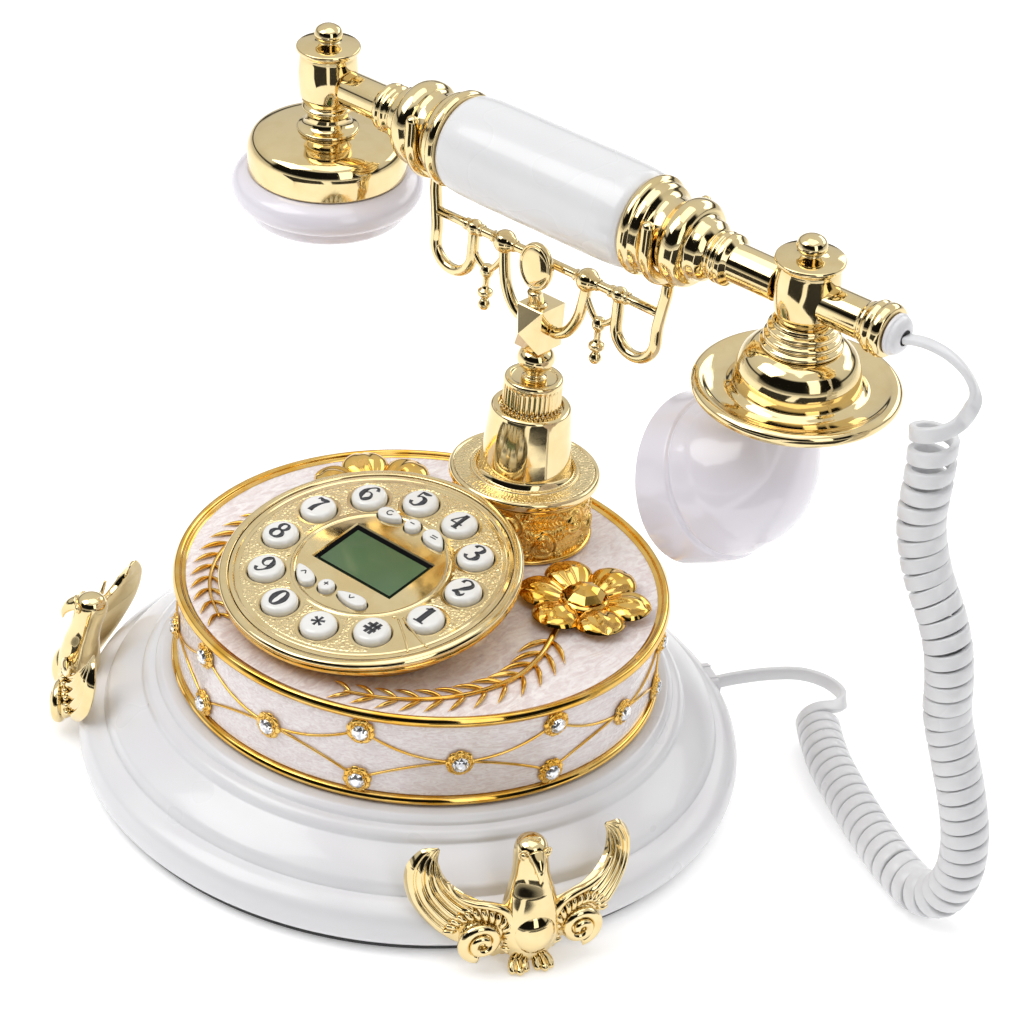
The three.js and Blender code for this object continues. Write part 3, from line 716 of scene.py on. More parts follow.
def make_drum():
    profile = [(79, 40), (81.3, 39.9, .3), (81.5, 40.4, .3), (81.5, 66.6, .3), (81.0, 67.2, .3),
               (80.3, 67.4, .2), (80.3, 69.4, .2), (79.9, ENAMEL_TOP, .2)]
    profile += [(r, ENAMEL_TOP) for r in (60, 40, 20, 0)]
    fine = []
    curve = rounded(profile, 0.2, 2)
    for a, b in zip(curve, curve[1:]):
        n = max(1, int(np.linalg.norm(b - a) / 1.2))
        fine += [a + (b - a) * i / n for i in range(n)]
    fine.append(np.array([0, ENAMEL_TOP]))
    piece = Piece().lathe(fine, 320)
    points = np.concatenate(piece.points)
    for p in points:
        d = math.hypot(p[0], p[1])
        lift = 0.14 * noise.noise(Vector((p[0] * 0.35, p[1] * 0.35, p[2] * 0.6)))
        if p[2] > 69.3 and d < 78:
            p[2] += lift
        elif 42 < p[2] < 66 and d > 81:
            p[:2] *= 1 + lift / d
    piece.points = [points]
    settle(piece.build("drum_enamel", [pearl_enamel]), "base", "pearl_enamel", "drum_shell")
    lower = [(79.5, 36.7), (82.5, 36.7, 1.1), (83.6, 38.1, 1.2), (82.7, 39.7, 1.1), (81.3, 39.8, .3),
             (79.5, 39.8), (79.5, 36.7)]
    turned_part("drum_foot_ring", np.eye(4), lower, 256, rich_gold,
                ("base", "rich_gold", "drum_ring_bottom"), 0.4, 6)
    upper = [(80.6, 67.5), (83.0, 67.5, .8), (84.0, 69.1, 1.2), (83.2, 70.9, 1), (82.2, 71.3, 1),
             (81.2, 70.8, .8), (80.9, 70.1, .3), (80.0, 69.9, .2), (79.4, 69.6, .1),
             (80.6, ENAMEL_TOP, .1), (80.6, 67.5)]
    turned_part("drum_rim_ring", np.eye(4), upper, 256, rich_gold,
                ("base", "rich_gold", "drum_ring_top"), 0.4, 6)


make_drum()


# ---- Garland: settings with stones, and wires between them ----
GARLAND_COLUMNS = 16
FIRST_SETTING = 51.5  # degrees from the front
GARLAND_Z = 53.5
PAIR_RISE = 9.3
WIRE_RADIUS = 0.42


def wall_matrix(angle, z, radius):
    """A frame on the drum's wall: X along it, Y up, Z out."""
    a = math.radians(angle)
    out = np.array([math.sin(a), -math.cos(a), 0])
    m = np.eye(4)
    m[:3, 0], m[:3, 1], m[:3, 2] = (math.cos(a), math.sin(a), 0), (0, 0, 1), out
    m[:3, 3] = out * radius + UP * z
    return m


def add_setting(piece, matrix, turned):
    piece.place(matrix @ turn("Z", turned))

    def scallop(angle, _):
        return 0.95 + 0.12 * abs(math.cos(4 * angle)) ** 0.7

    cup = [(0, 0.1), (4.0, 0.1), (4.5, 0.5), (4.4, 1.0), (3.9, 1.25), (3.2, 1.3), (3.1, 1.9),
           (2.75, 2.1), (2.5, 1.6), (0, 1.3)]
    piece.lathe(rounded(cup, 0.25, 3), 64, 0, scallop)
    for x, y in ring_of(3.9, 8, TAU / 16):
        piece.ball((x, y, 1.15), (0.62, 0.62, 0.4), 0, 10)
    for x, y in ring_of(2.75, 4, 0.4):
        piece.ball((x, y, 2.1), (0.42, 0.42, 0.45), 0, 8)


def add_stone(piece, matrix, turned):
    """A round brilliant: a table, a star row, a main row and a girdle."""
    piece.place(matrix @ turn("Z", turned))
    rows = [(1.35, 3.1, 8, 0), (2.05, 2.85, 8, 0.5), (2.72, 2.1, 16, 0), (2.72, 1.7, 16, 0)]
    points = [(x, y, z) for r, z, n, shift in rows for k in range(n)
              for x, y in [polar(r, TAU * (k + shift) / n)]]
    faces = [list(range(8))]
    for k in range(8):
        n = (k + 1) % 8
        g0, g1, g2 = (16 + (2 * k + j) % 16 for j in (0, 1, 2))
        faces += [[k, 8 + k, n], [8 + k, 8 + n, n], [8 + k, k, g0], [8 + k, g0, g1],
                  [8 + k, g1, g2], [8 + k, g2, n]]
    for face in faces:
        a, b, c = (np.array(points[i]) for i in face[:3])
        if np.cross(b - a, c - a)[2] < 0:
            face.reverse()
    for k in range(16):
        n = (k + 1) % 16
        faces.append([16 + k, 32 + k, 32 + n, 16 + n])
    piece.add(points, faces, 0, flat=True)


def make_garland():
    gold_piece, stones = Piece(), Piece()
    step = 360 / GARLAND_COLUMNS
    places = []
    for i in range(0, GARLAND_COLUMNS, 2):
        angle = FIRST_SETTING + i * step
        places.append((angle, GARLAND_Z))
        gold_piece.place(np.eye(4))
        for rise in (-PAIR_RISE, PAIR_RISE):
            places.append((angle + step, GARLAND_Z + rise))
            for side in (-1, 1):
                line = []
                for t in np.linspace(0, 1, 22):
                    z = GARLAND_Z + rise * (0.10 * t + 0.90 * t * t)
                    a = math.radians(angle + side * step * t)
                    r = WALL_RADIUS + 0.35
                    line.append((r * math.sin(a), -r * math.cos(a), z))
                gold_piece.tube(line, WIRE_RADIUS, 10)
    for k, (angle, z) in enumerate(places):
        matrix = wall_matrix(angle, z, WALL_RADIUS + 0.05)
        add_setting(gold_piece, matrix, 17 * k)
        add_stone(stones, matrix, 31 * k)
    settle(gold_piece.build("garland_gold", [rich_gold]), "base", "rich_gold", "garland")
    settle(stones.build("garland_stones", [clear_stone]), "base", "rich_gold")


make_garland()


# ---- Flower sprays on the drum's top ----
DECK = 69.6
FLOWER_AT = (47.4, 28.0)
FLOWER_RADIUS = 23.0
PETALS = 6
LEAF_PAIRS = 12
SPRAY_STEM = [(47.4, 16), (52.5, 6), (58, -8), (60, -22), (57, -37), (50, -50), (40, -60.5),
              (28, -68)]


def add_petal(piece, length, width, height):
    """A plump petal along X with raised ribs and a notch at its tip."""
    rows, columns = 26, 22
    grid = []
    for i in range(rows + 1):
        t = i / rows
        grow = math.sin(math.pi * t ** 1.35) ** 0.55 if 0 < t < 1 else 0.0
        grow = max(grow, 0.3 * (1 - t), 0.01)
        row = []
        for k in range(columns + 1):
            u = 2 * k / columns - 1
            notch = 1 - 0.07 * math.exp(-(u / 0.28) ** 2) * max(0, t - 0.6) / 0.4
            x = length * t * notch
            y = width * grow * u
            dome = max(0.0, 1 - u * u) ** 0.55
            rib = 0.34 * math.cos(u * 9.5) * math.sin(math.pi * t) * (1 - u * u)
            z = height * grow * dome * (0.72 + t * (1 - t)) + rib * dome
            row.append((x, y, z))
        grid.append(row)
    piece.sheet(grid)
    under = [[(x, y, -0.2) for x, y, _ in row[::-1]] for row in grid]
    return piece.sheet(under)


def add_leaf(piece, length, width):
    """A slim curved leaf that tapers to both ends."""
    line, radii = [], []
    for t in np.linspace(0, 1, 14):
        line.append((length * t, -0.2 * t * t * length, 0.7 * math.sin(math.pi * t) + 0.25))
        radii.append(width * (0.18 + 0.82 * math.sin(math.pi * min(1, 0.1 + t * 0.98)) ** 0.8)
                     if t < 1 else 0.02)
    piece.tube(line, radii, 10)


def make_spray(name, mirror, node):
    piece = Piece()
    base = scale(-1, 1, 1) if mirror else np.eye(4)
    for k in range(PETALS):
        piece.place(base @ move(*FLOWER_AT, DECK + 0.5) @ turn("Z", 360 / PETALS * k + 30)
                    @ move(4.6, 0, 1.4) @ turn("Y", -5))
        add_petal(piece, FLOWER_RADIUS - 4.8, 8.4, 3.6)
    piece.place(base @ move(*FLOWER_AT, DECK))
    facets = [(7.6, 3.4), (7.2, 4.8), (5.0, 7.0), (2.4, 7.9), (0, 8.1)]
    piece.lathe(rounded([(6.4, 1), (8.4, 2.2, .8), (8.6, 3.6, .8), (7.4, 4.4)], 0.5), 48)
    piece.lathe(facets, 7, 0, flat=True)
    piece.place(base)
    stem = smooth_line([(x, y, DECK + 0.7) for x, y in SPRAY_STEM], 1.2)
    taper = np.linspace(1.25, 0.4, len(stem))
    piece.tube(stem, taper, 12)
    way = np.gradient(stem, axis=0)
    for i in range(LEAF_PAIRS):
        t = 0.14 + 0.84 * i / (LEAF_PAIRS - 1)
        j = int(t * (len(stem) - 1))
        heading = math.degrees(math.atan2(way[j][1], way[j][0]))
        size = 1 - 0.45 * t
        for side in (-1, 1):
            piece.place(base @ move(stem[j][0], stem[j][1], DECK)
                        @ turn("Z", heading + side * 46) @ scale(1, side, 1) @ move(0.4, 0, 0))
            add_leaf(piece, 14.5 * size, 0.85 * size + 0.2)
    settle(piece.build(name, [rich_gold]), "base", "rich_gold", node)


make_spray("spray_right", False, "flower_spray_right")
make_spray("spray_left", True, "flower_spray_left")


# ---- Dial ----
DIAL_AT = (0.0, -27.1, 86.8)
DIAL_TILT = 9.9
DIAL_RADIUS = 50.2
KEY_CIRCLE = 34.3
FIRST_KEY_ANGLE = -15.9
KEY_STEP = 30
KEY_RADIUS = 6.1
HOLE_RADIUS = 6.45
DIAL = move(*DIAL_AT) @ turn("X", DIAL_TILT)
KEY_NAMES = ["1", "2", "3", "4", "5", "6", "7", "8", "9", "0", "star", "hash"]
FIELD_RADII = (27.6, 43.4)
WINDOW_AT = (-0.8, 2.0)
WINDOW_SIZE = (34.4, 21.4)
FUNCTION_KEYS = {  # place, half length, half width and turn in degrees
    "redial": (-11.6, 21.9, 4.9, 2.8, 4), "set": (-2.1, 22.5, 3, 3, 0),
    "handsfree": (8.4, 21.6, 5.4, 3, -22), "up": (-12.6, -18.2, 5.4, 2.8, -26),
    "out": (-2.9, -17.9, 3, 3, 0), "down": (8, -17.6, 6, 2.6, 4),
}


def key_place(index):
    return polar(KEY_CIRCLE, math.radians(FIRST_KEY_ANGLE + KEY_STEP * index))


def cut_with(target, cutter):
    """Takes the cutter's shape out of the target's mesh."""
    modifier = target.modifiers.new("cut", "BOOLEAN")
    modifier.object, modifier.operation, modifier.solver = cutter, "DIFFERENCE", "EXACT"
    modifier.material_mode = "TRANSFER"
    graph = bpy.context.evaluated_depsgraph_get()
    mesh = bpy.data.meshes.new_from_object(target.evaluated_get(graph))
    target.modifiers.clear()
    target.data = mesh
    bpy.data.objects.remove(cutter)
    return target


def add_stroke(piece, points, widths, low, high, finish=0, fine=0.35):
    line = smooth_line([(x, y, 0) for x, y in points], fine) if len(points) > 2 else \
        np.linspace((*points[0], 0), (*points[-1], 0), 8)
    t = np.linspace(0, 1, len(line))
    half = np.interp(t, np.linspace(0, 1, len(widths)), widths) / 2
    way = np.gradient(line, axis=0)
    way /= np.linalg.norm(way, axis=1)[:, None]
    across = np.stack([-way[:, 1], way[:, 0], 0 * t], 1)
    a, b = line + across * half[:, None], line - across * half[:, None]
    a[:, 2] = b[:, 2] = high
    c, d = b.copy(), a.copy()
    c[:, 2] = d[:, 2] = low
    rings = np.stack([a, b, c, d], 1)
    piece.solid(rings, finish)


def oval(rx, ry, cx=0.0, cy=0.0, start=90, sweep=360, count=24):
    return [(cx + rx * math.cos(math.radians(start + sweep * i / count)),
             cy + ry * math.sin(math.radians(start + sweep * i / count)))
            for i in range(count + 1)]


# Digit strokes on a body about 4 wide and 6.4 high: points, then widths from end to end.
THIN, FAT = 0.5, 1.8
DIGITS = {
    "0": [(oval(1.55, 2.9), [THIN, FAT, THIN, FAT, THIN])],
    "1": [([(0.1, 3.1), (0.1, -3.0)], [FAT]), ([(-1.5, 2.0), (-0.7, 2.5), (0.0, 3.1)], [.5, .5, .9]),
          ([(-1.5, -3.0), (1.7, -3.0)], [.45])],
    "2": [([(-1.5, 1.5), (-1.3, 2.7), (0.1, 3.1), (1.5, 2.2), (1.4, 0.9), (0.1, -0.8),
            (-1.5, -2.7)], [1.1, .5, .6, 1.6, 1.5, .7, .5]),
          ([(-1.6, -2.6), (-0.3, -2.3), (0.9, -2.9), (1.7, -2.3), (1.75, -1.5)],
           [.5, 1.2, 1.3, .7, .3])],
    "3": [([(-1.5, 1.9), (-1.1, 2.8), (0.1, 3.1), (1.3, 2.3), (1.1, 0.9), (-0.3, 0.2)],
           [1.2, .5, .5, 1.4, 1.2, .4]),
          ([(-0.3, 0.2), (1.2, -0.3), (1.6, -1.6), (0.4, -2.95), (-1.2, -2.7), (-1.6, -1.8)],
           [.4, 1.1, 1.7, .8, .5, 1.2])],
    "4": [([(0.6, 3.1), (0.6, -3.0)], [1.3]), ([(0.5, 3.0), (-1.9, -1.1)], [.5]),
          ([(-1.9, -1.2), (1.9, -1.2)], [.55]), ([(-0.3, -3.0), (1.6, -3.0)], [.45])],
    "5": [([(-1.3, 2.8), (-0.3, 2.6), (0.8, 2.8), (1.5, 3.1)], [.6, 1.2, .9, .3]),
          ([(-1.3, 2.9), (-1.35, 0.3)], [.5]),
          ([(-1.35, 0.3), (-0.2, 1.1), (1.3, 0.4), (1.5, -1.2), (0.4, -2.9), (-1.2, -2.7),
            (-1.6, -1.8)], [.45, .5, 1.4, 1.7, .7, .5, 1.2])],
    "6": [([(1.4, 2.0), (1.0, 2.9), (0.0, 3.0), (-1.4, 1.2), (-1.5, -1.2), (-0.1, -2.95),
            (1.4, -1.6), (1.1, -0.1), (-0.1, 0.5), (-1.2, -0.3)],
           [1.1, .5, .5, 1.5, 1.6, .5, 1.4, 1.0, .4, .4])],
    "7": [([(-1.6, 1.9), (-1.4, 2.7), (-0.2, 2.3), (0.8, 2.7), (1.6, 2.9)], [.4, .6, 1.3, 1.1, .4]),
          ([(1.6, 2.9), (0.4, 0.8), (-0.3, -1.2), (-0.3, -3.0)], [.5, .7, 1.4, 1.6])],
    "8": [(oval(1.25, 1.35, 0, 1.65), [.5, 1.2, .5, 1.2, .5]),
          (oval(1.6, 1.55, 0, -1.35), [.5, 1.5, .5, 1.5, .5])],
    "star": [([(1.9 * math.cos(a), 1.9 * math.sin(a)), (-1.9 * math.cos(a), -1.9 * math.sin(a))],
              [.9, .45, .9]) for a in (math.pi / 2, math.pi / 6, -math.pi / 6)],
    "hash": [([(-0.5, -2.4), (-0.1, 2.4)], [1.0]), ([(0.8, -2.4), (1.2, 2.4)], [1.0]),
             ([(-1.9, 0.8), (2.1, 0.8)], [1.0]), ([(-2.1, -0.8), (1.9, -0.8)], [1.0])],
}
DIGITS["9"] = [([(-x, -y) for x, y in points], widths) for points, widths in DIGITS["6"]]


def make_key(index, name):
    place = DIAL @ move(*key_place(index))
    piece = Piece().place(place)
    cap = [(0, -3.4), (5.4, -3.4), (5.6, -3.2), (KEY_RADIUS, -0.5, .3), (KEY_RADIUS, 1.0, .5),
           (5.55, 1.9, .7), (4.7, 2.35, .5), (2.5, 2.5), (0, 2.5)]
    piece.lathe(rounded(cap, 0.3, 4), 64)
    piece.place(place @ scale(1.22, 1.22, 1))
    for points, widths in DIGITS[name]:
        add_stroke(piece, points, widths, 1.9, 2.56, 1)
    settle(piece.build(f"cap_{name}", [key_white, digit_ink]), f"key_{name}", "key_white",
           f"key_{name}")


def function_outline(shape, extra=0.0, count=40):
    """The outline of a function key: an oval that narrows towards one end."""
    x, y, length, width, turned = shape
    out = []
    for i in range(count):
        a = TAU * i / count
        taper = 1 if length == width else 1 - 0.35 * math.cos(a) * (1 if y > 0 else -1)
        u, v = (length + extra) * math.cos(a), (width * taper + extra) * math.sin(a)
        c, s = math.cos(math.radians(turned)), math.sin(math.radians(turned))
        out.append((x + c * u - s * v, y + s * u + c * v))
    return out


FUNCTION_MARKS = {
    "redial": [oval(1.1, 1.1, 0, 0, 60, 290)], "set": [[(-0.9, 0), (0.9, 0)]],
    "handsfree": [[(-1.2, 0.5), (1.2, 0.5)], [(-1.2, -0.5), (1.2, -0.5)]],
    "up": [[(-1, -0.5), (0, 0.7), (1, -0.5)]], "out": [[(-0.9, 0), (0.9, 0)], [(0, -.9), (0, .9)]],
    "down": [[(-1, 0.5), (0, -0.7), (1, 0.5)]],
}


def make_function_key(name, shape):
    piece = Piece().place(DIAL)
    levels = [(-0.35, -3.3), (-0.2, -0.4), (-0.2, 1.3), (-0.35, 1.7), (-0.8, 1.98), (-1.5, 2.08)]
    rings = [[(x, y, z) for x, y in function_outline(shape, extra)] for extra, z in levels]
    piece.solid(rings)
    piece.place(DIAL @ move(shape[0], shape[1], 0))
    for mark in FUNCTION_MARKS[name]:
        add_stroke(piece, mark, [0.42], 1.9, 2.16, 1, 0.2)
    settle(piece.build(f"button_{name}", [key_white, digit_ink]), f"key_{name}", "key_white",
           f"key_{name}")


def dial_cutter():
    piece = Piece()
    for i in range(len(KEY_NAMES)):
        piece.place(DIAL @ move(*key_place(i)))
        rim = [(0, -2.6), (HOLE_RADIUS, -2.6), (HOLE_RADIUS, -0.35), (HOLE_RADIUS + 1.5, 1.15),
               (0, 1.25)]
        piece.lathe(rim, 48)
    piece.place(DIAL)
    for shape in FUNCTION_KEYS.values():
        rings = [[(x, y, z) for x, y in function_outline(shape, 0.35)] for z in (-2.6, 1.3)]
        piece.solid(rings)
    w, h = WINDOW_SIZE[0] / 2 - 0.6, WINDOW_SIZE[1] / 2 - 0.6
    x, y = WINDOW_AT
    piece.solid([[(x + u, y + v, z) for u, v in box_corners(w + e, h + e)]
                 for e, z in ((0, -2.6), (0, -0.9), (1.9, 1.0))])
    return piece.build("dial_cutter", [pale_gold])


def make_dial_face():
    profile = [
        (0, -1.6), (46.6, -1.6), (46.6, -0.2), (46.6, 0), (45.4, 0.1, .2), (44.7, -0.15, .2),
        (44.2, 0.05, .2), (26.6, 0.05, .1), (26.3, 0.3, .2), (25.7, 0.5, .3), (25.1, 0.3, .2),
        (24.8, 0.05, .2), (0, 0.05),
    ]
    piece = Piece().place(DIAL).lathe(rounded(profile, 0.1, 3), 220)
    face = cut_with(piece.build("dial_plate", [pale_gold]), dial_cutter())
    for p in face.data.polygons:
        p.use_smooth = False
    settle(face, "base", "pale_gold", "dial_face")


def in_field(r, a):
    """How far inside a textured field a point of the dial is, from 0 at its edge to 1."""
    angle = (math.degrees(a) - FIRST_KEY_ANGLE) % 360
    inner, outer = FIELD_RADII
    if 328 < angle < 359.9 or not inner < r < outer:
        return 0
    x, y = polar(r, a)
    nearest = min(math.hypot(x - u, y - v) for u, v in map(key_place, range(len(KEY_NAMES))))
    return max(0, min(1, (nearest - 7.4) / 0.5, (r - inner) / 0.4, (outer - r) / 0.4))


def make_dial_texture():
    """Raised pebbled fields between the keys; the sheet dips under the plate outside them."""
    rows = np.arange(27.0, 44.2, 0.32)
    columns = 700
    points, keep = [], []
    for r in rows:
        for k in range(columns):
            a = TAU * k / columns
            x, y = polar(r, a)
            f = in_field(r, a)
            height = -0.3
            if f > 0:
                cell = noise.voronoi(Vector((x * 0.85, y * 0.85, 3.0)))[0]
                vein = noise.noise(Vector((x * 1.3, y * 1.3, 9.0)))
                height = -0.3 + f * (0.4 + 0.38 * (cell[1] - cell[0]) + 0.12 * vein)
            points.append((x, y, height))
            keep.append(f > 0)
    faces = []
    for i in range(len(rows) - 1):
        for k in range(columns):
            n = (k + 1) % columns
            quad = [i * columns + k, (i + 1) * columns + k, (i + 1) * columns + n, i * columns + n]
            if any(keep[q] for q in quad):
                faces.append(quad)
    piece = Piece().place(DIAL).add(points, faces)
    settle(piece.build("dial_fields", [pebbled_gold]), "base", "pale_gold")


def make_dial_housing():
    profile = [
        (0, -6.4), (44, -6.4), (44, -2.5), (49.4, -2.5), (49.8, -2.9, .3), (49.8, -4.3, .6),
        (48.6, -4.9, .5),
        (46.8, -5.2, 1), (45.0, -7.4, 1.5), (43.4, -10.5, 2), (41.8, -11.6, .8), (41.6, -12.6, .5),
        (39.6, -13.8, 1), (38.0, -16.4, 1), (37.6, -30), (0, -30),
    ]
    piece = Piece().place(DIAL).lathe(rounded(profile, 0.3, 5)[::-1], 220)
    housing = piece.build("dial_dish", [rich_gold])
    block = Piece()
    block.add([(x, y - 27, z) for z in (20, DECK + 0.1) for x, y in box_corners(80, 80)],
              [[3, 2, 1, 0], [4, 5, 6, 7], [0, 1, 5, 4], [1, 2, 6, 5], [2, 3, 7, 6], [3, 0, 4, 7]])
    cut_with(housing, block.build("deck_cutter", [rich_gold]))
    settle(housing, "base", "rich_gold", "dial_housing")


def make_dial_trim():
    """The rim, the beads inside the ring of keys and the two ribs of the finger stop."""
    beads = Piece()
    for k in range(len(KEY_NAMES)):
        a = math.radians(FIRST_KEY_ANGLE + KEY_STEP * k + 15)
        beads.place(DIAL @ move(*polar(27.9, a), 0.1))
        beads.ball((0, 0, 0), (0.75, 0.75, 0.45), 0, 14)
    beads.place(DIAL)
    rim = [(46.9, -2.4), (46.9, 0.0), (47.2, 0.35, .2), (48.2, 0.5, .3), (49.4, 0.3, .4),
           (DIAL_RADIUS, -0.5, .6), (DIAL_RADIUS, -1.7, .4), (49.7, -2.0, .2), (49.5, -2.4),
           (46.9, -2.4)]
    beads.lathe(rounded(rim, 0.2, 4)[::-1], 220)
    for side in (-1, 1):
        stop = []
        for r, spread in ((29.5, 1.6), (35, 2.3), (41, 3.1), (46, 4.0)):
            a = math.radians(FIRST_KEY_ANGLE - 12 + side * spread)
            stop.append((*polar(r, a), 0.1))
        beads.tube(smooth_line(stop, 0.8), 0.38, 10)
    settle(beads.build("dial_beads", [pale_gold]), "base", "pale_gold")


def make_display():
    x, y = WINDOW_AT
    w, h = WINDOW_SIZE[0] / 2 - 0.7, WINDOW_SIZE[1] / 2 - 0.7
    piece = Piece().place(DIAL @ move(x, y, 0))
    grid = [[(w * (2 * i / 24 - 1), h * (2 * k / 16 - 1), -1.0) for i in range(25)]
            for k in range(17)]
    piece.sheet(grid, 0)
    sides = [[(*corner, z) for corner in box_corners(w + e, h + e)]
             for e, z in ((-0.9, -0.95), (0.05, -0.2), (0.3, -0.1))]
    piece.sheet(sides, 1, closed_u=True)
    bottom = [[(*corner, z) for corner in box_corners(w, h)] for z in (-2.0, -1.0)]
    piece.sheet(bottom, 1, closed_u=True)
    piece.add(bottom[0], [[3, 2, 1, 0]], 1)
    settle(piece.build("display_panel", [display_glass, shadow_black], smooth=False), "base",
           "display_glass", "display_window")


for position, key_name in enumerate(KEY_NAMES):
    make_key(position, key_name)
for key_name, key_shape in FUNCTION_KEYS.items():
    make_function_key(key_name, key_shape)
make_dial_face()
make_dial_texture()
make_dial_housing()
make_dial_trim()
make_display()


# ---- Column ----
COLUMN = move(0, COLUMN_Y, 0)
COLUMN_BASE_RADIUS = 24.4
ROSES = [(30 * k, 76.4 if k % 2 else 83.6) for k in range(12)]


def relief_height(angle, z):
    """Height of the cast roses and leaves on the column's foot, in millimetres."""
    height = 0.25 * np.abs(np.sin(angle * 46 + 2.2 * np.sin(z * 0.9))) * np.abs(np.sin(z * 1.1))
    for turned, middle in ROSES:
        along = (angle - math.radians(turned) + math.pi) % TAU - math.pi
        s, v = along * COLUMN_BASE_RADIUS, z - middle
        r, a = np.hypot(s, v), np.arctan2(v, s)
        edge = 5.4 + 0.7 * np.abs(np.cos(2.5 * a))
        dome = np.clip(1 - (r / edge) ** 3, 0, 1)
        petals = 0.5 + 0.5 * np.cos(2.5 * r - a + 0.8 * np.sin(3 * a))
        height = np.maximum(height, dome ** 0.5 * (0.85 + 0.9 * petals ** 1.6))
        for lean in (35, 145, 215, 325):
            c, d = math.cos(math.radians(lean)), math.sin(math.radians(lean))
            x, y = s * c + v * d - 7.6, -s * d + v * c
            leaf = np.clip(1 - (x / 4.2) ** 2 - (y / (1.9 - 0.25 * x)) ** 2, 0, 1)
            veins = 0.75 + 0.25 * np.cos(3.4 * (x - 1.3 * np.abs(y)))
            height = np.maximum(height, leaf ** 0.5 * 1.35 * veins - 0.3 * np.exp(-(y / .25) ** 2))
    return height


def make_column_base():
    zs = np.arange(70.2, 90.6, 0.26)
    angles = np.linspace(0, TAU, 760, endpoint=False)
    a, z = np.meshgrid(angles, zs)
    r = 23.3 + relief_height(a, z)
    piece = Piece().place(COLUMN)
    piece.sheet(np.stack([r * np.cos(a), r * np.sin(a), z], 2), closed_u=True)
    low = [(22, 69.9), (24.9, 69.9), (25.4, 70.5, .5), (25.2, 71.4, .5), (23.4, 71.8), (22, 71.8)]
    high = [(22, 89.2), (23.8, 89.4), (24.6, 89.7, .3), (25.2, 90.3, .5), (24.9, 90.9, .2),
            (22, 90.9)]
    for ring in (low, high):
        piece.lathe(rounded(ring, 0.3), 160, 1)
    settle(piece.build("column_foot", [filigree_gold, rich_gold]), "base", "rich_gold",
           "column_base")


def make_column_cone():
    profile = [
        (0, 91.2), (25.4, 91.2), (26.1, 91.9, .5), (26.1, 93.9, .7), (25.3, 94.7, .5),
        (24.6, 94.5, .2), (24.3, 94.2, .1), (18.9, 94.2, .1), (18.7, 94.6, .2), (17.9, 94.7, .2),
        (17.6, 94.3, .1), (16.8, 94.4, .5), (15.9, 96.2, 1.5), (15.2, 103), (14.5, 111),
        (13.9, 117.6, .6), (13.7, 118.6, .7), (12.9, 119.2, .3), (11.3, 119.2, .1),
        (11.2, 117.3), (3.7, 117.3),
    ]
    piece = Piece().place(COLUMN).lathe(rounded(profile, 0.4, 4), 200)
    grid = []
    for r in np.arange(18.9, 24.35, 0.22):
        row = []
        for k in range(540):
            a = TAU * k / 540
            x, y = polar(r, a)
            pebble = noise.voronoi(Vector((x * 0.9, y * 0.9, 1.0)))[0]
            ray = abs(math.sin(a * 66 + 0.6 * math.sin(r * 2)))
            edge = min(1, (r - 18.9) / 0.3, max(0, 24.3 - r) / 0.3)
            row.append((x, y, 94.12 + edge * (0.12 + 0.26 * (pebble[1] - pebble[0])
                                              + 0.16 * ray)))
        grid.append(row)
    piece.sheet(grid, 1, closed_u=True)
    for x, y in ring_of(17.75, 84):
        piece.ball((x, y, 94.65), 0.42, 0, 8)
    settle(piece.build("column_mirror_cone", [pale_gold, pebbled_gold]), "base", "pale_gold",
           "column_cone")


def make_collar():
    flutes = 34
    body = [(3.7, 117.6), (9.9, 117.6), (10.1, 118.0), (10.1, 119.2), (9.9, 119.6)]
    body += [(9.9, z) for z in np.linspace(119.9, 127.0, 12)]
    body += [(9.95, 127.6), (10.1, 128.0), (10.15, 128.9), (9.95, 129.7), (9.4, 130.15),
             (8.3, 130.2), (8.0, 130.0), (7.9, 129.5), (7.5, 129.3), (3.7, 129.3)]

    def wave(angle, index):
        inside = max(0.0, min(1.0, (index - 4) / 1.5, (17.5 - index) / 1.5))
        return 1 + inside * (0.052 * abs(math.cos(angle * flutes / 2)) - 0.03)

    piece = Piece().place(COLUMN).lathe(body, flutes * 12, wave=wave)
    for k, (x, y) in enumerate(ring_of(10.05, flutes * 2)):
        piece.ball((x, y, 118.5 + 0.35 * (k % 2)), 0.42, 0, 8)
    settle(piece.build("fluted_collar", [pale_gold]), "base", "pale_gold", "column_collar")


# ---- Cradle ----
def make_stem():
    profile = [(0, 98.2), (3.1, 98.2), (3.1, 128.6, .4), (4.3, 129.6, .3), (4.4, 130.3, .4),
               (3.2, 131.0, .5), (3.0, 131.6, .5), (4.2, 132.4, .5)]
    profile += [(6.45 * math.sin(a), 137 - 5.2 * math.cos(a)) for a in np.linspace(.75, 2.5, 26)]
    profile += [(3.2, 141.5), (0, 141.7)]
    turned_part("stem_rod", COLUMN, profile, 72, pale_gold,
                ("cradle", "pale_gold", "cradle_stem"), 0.3)


def facet_box(piece, centre, size, bevel, peak):
    """A box with bevelled edges and a four-sided pyramid on its front and its back."""
    w, d, h = (v / 2 for v in size)
    rings = []
    for y, inset in ((-d, bevel), (-d + bevel, 0), (d - bevel, 0), (d, bevel)):
        rings.append([(centre[0] + x, centre[1] + y, centre[2] + z)
                      for x, z in box_corners(w - inset, h - inset)])
    piece.sheet(rings, closed_u=True)
    for ring, y in ((rings[0], -d - peak), (rings[-1], d + peak)):
        tip = (centre[0], centre[1] + y, centre[2])
        order = [[0, 1, 4], [1, 2, 4], [2, 3, 4], [3, 0, 4]]
        piece.add(ring + [tip], [f[::-1] for f in order] if y > 0 else order)


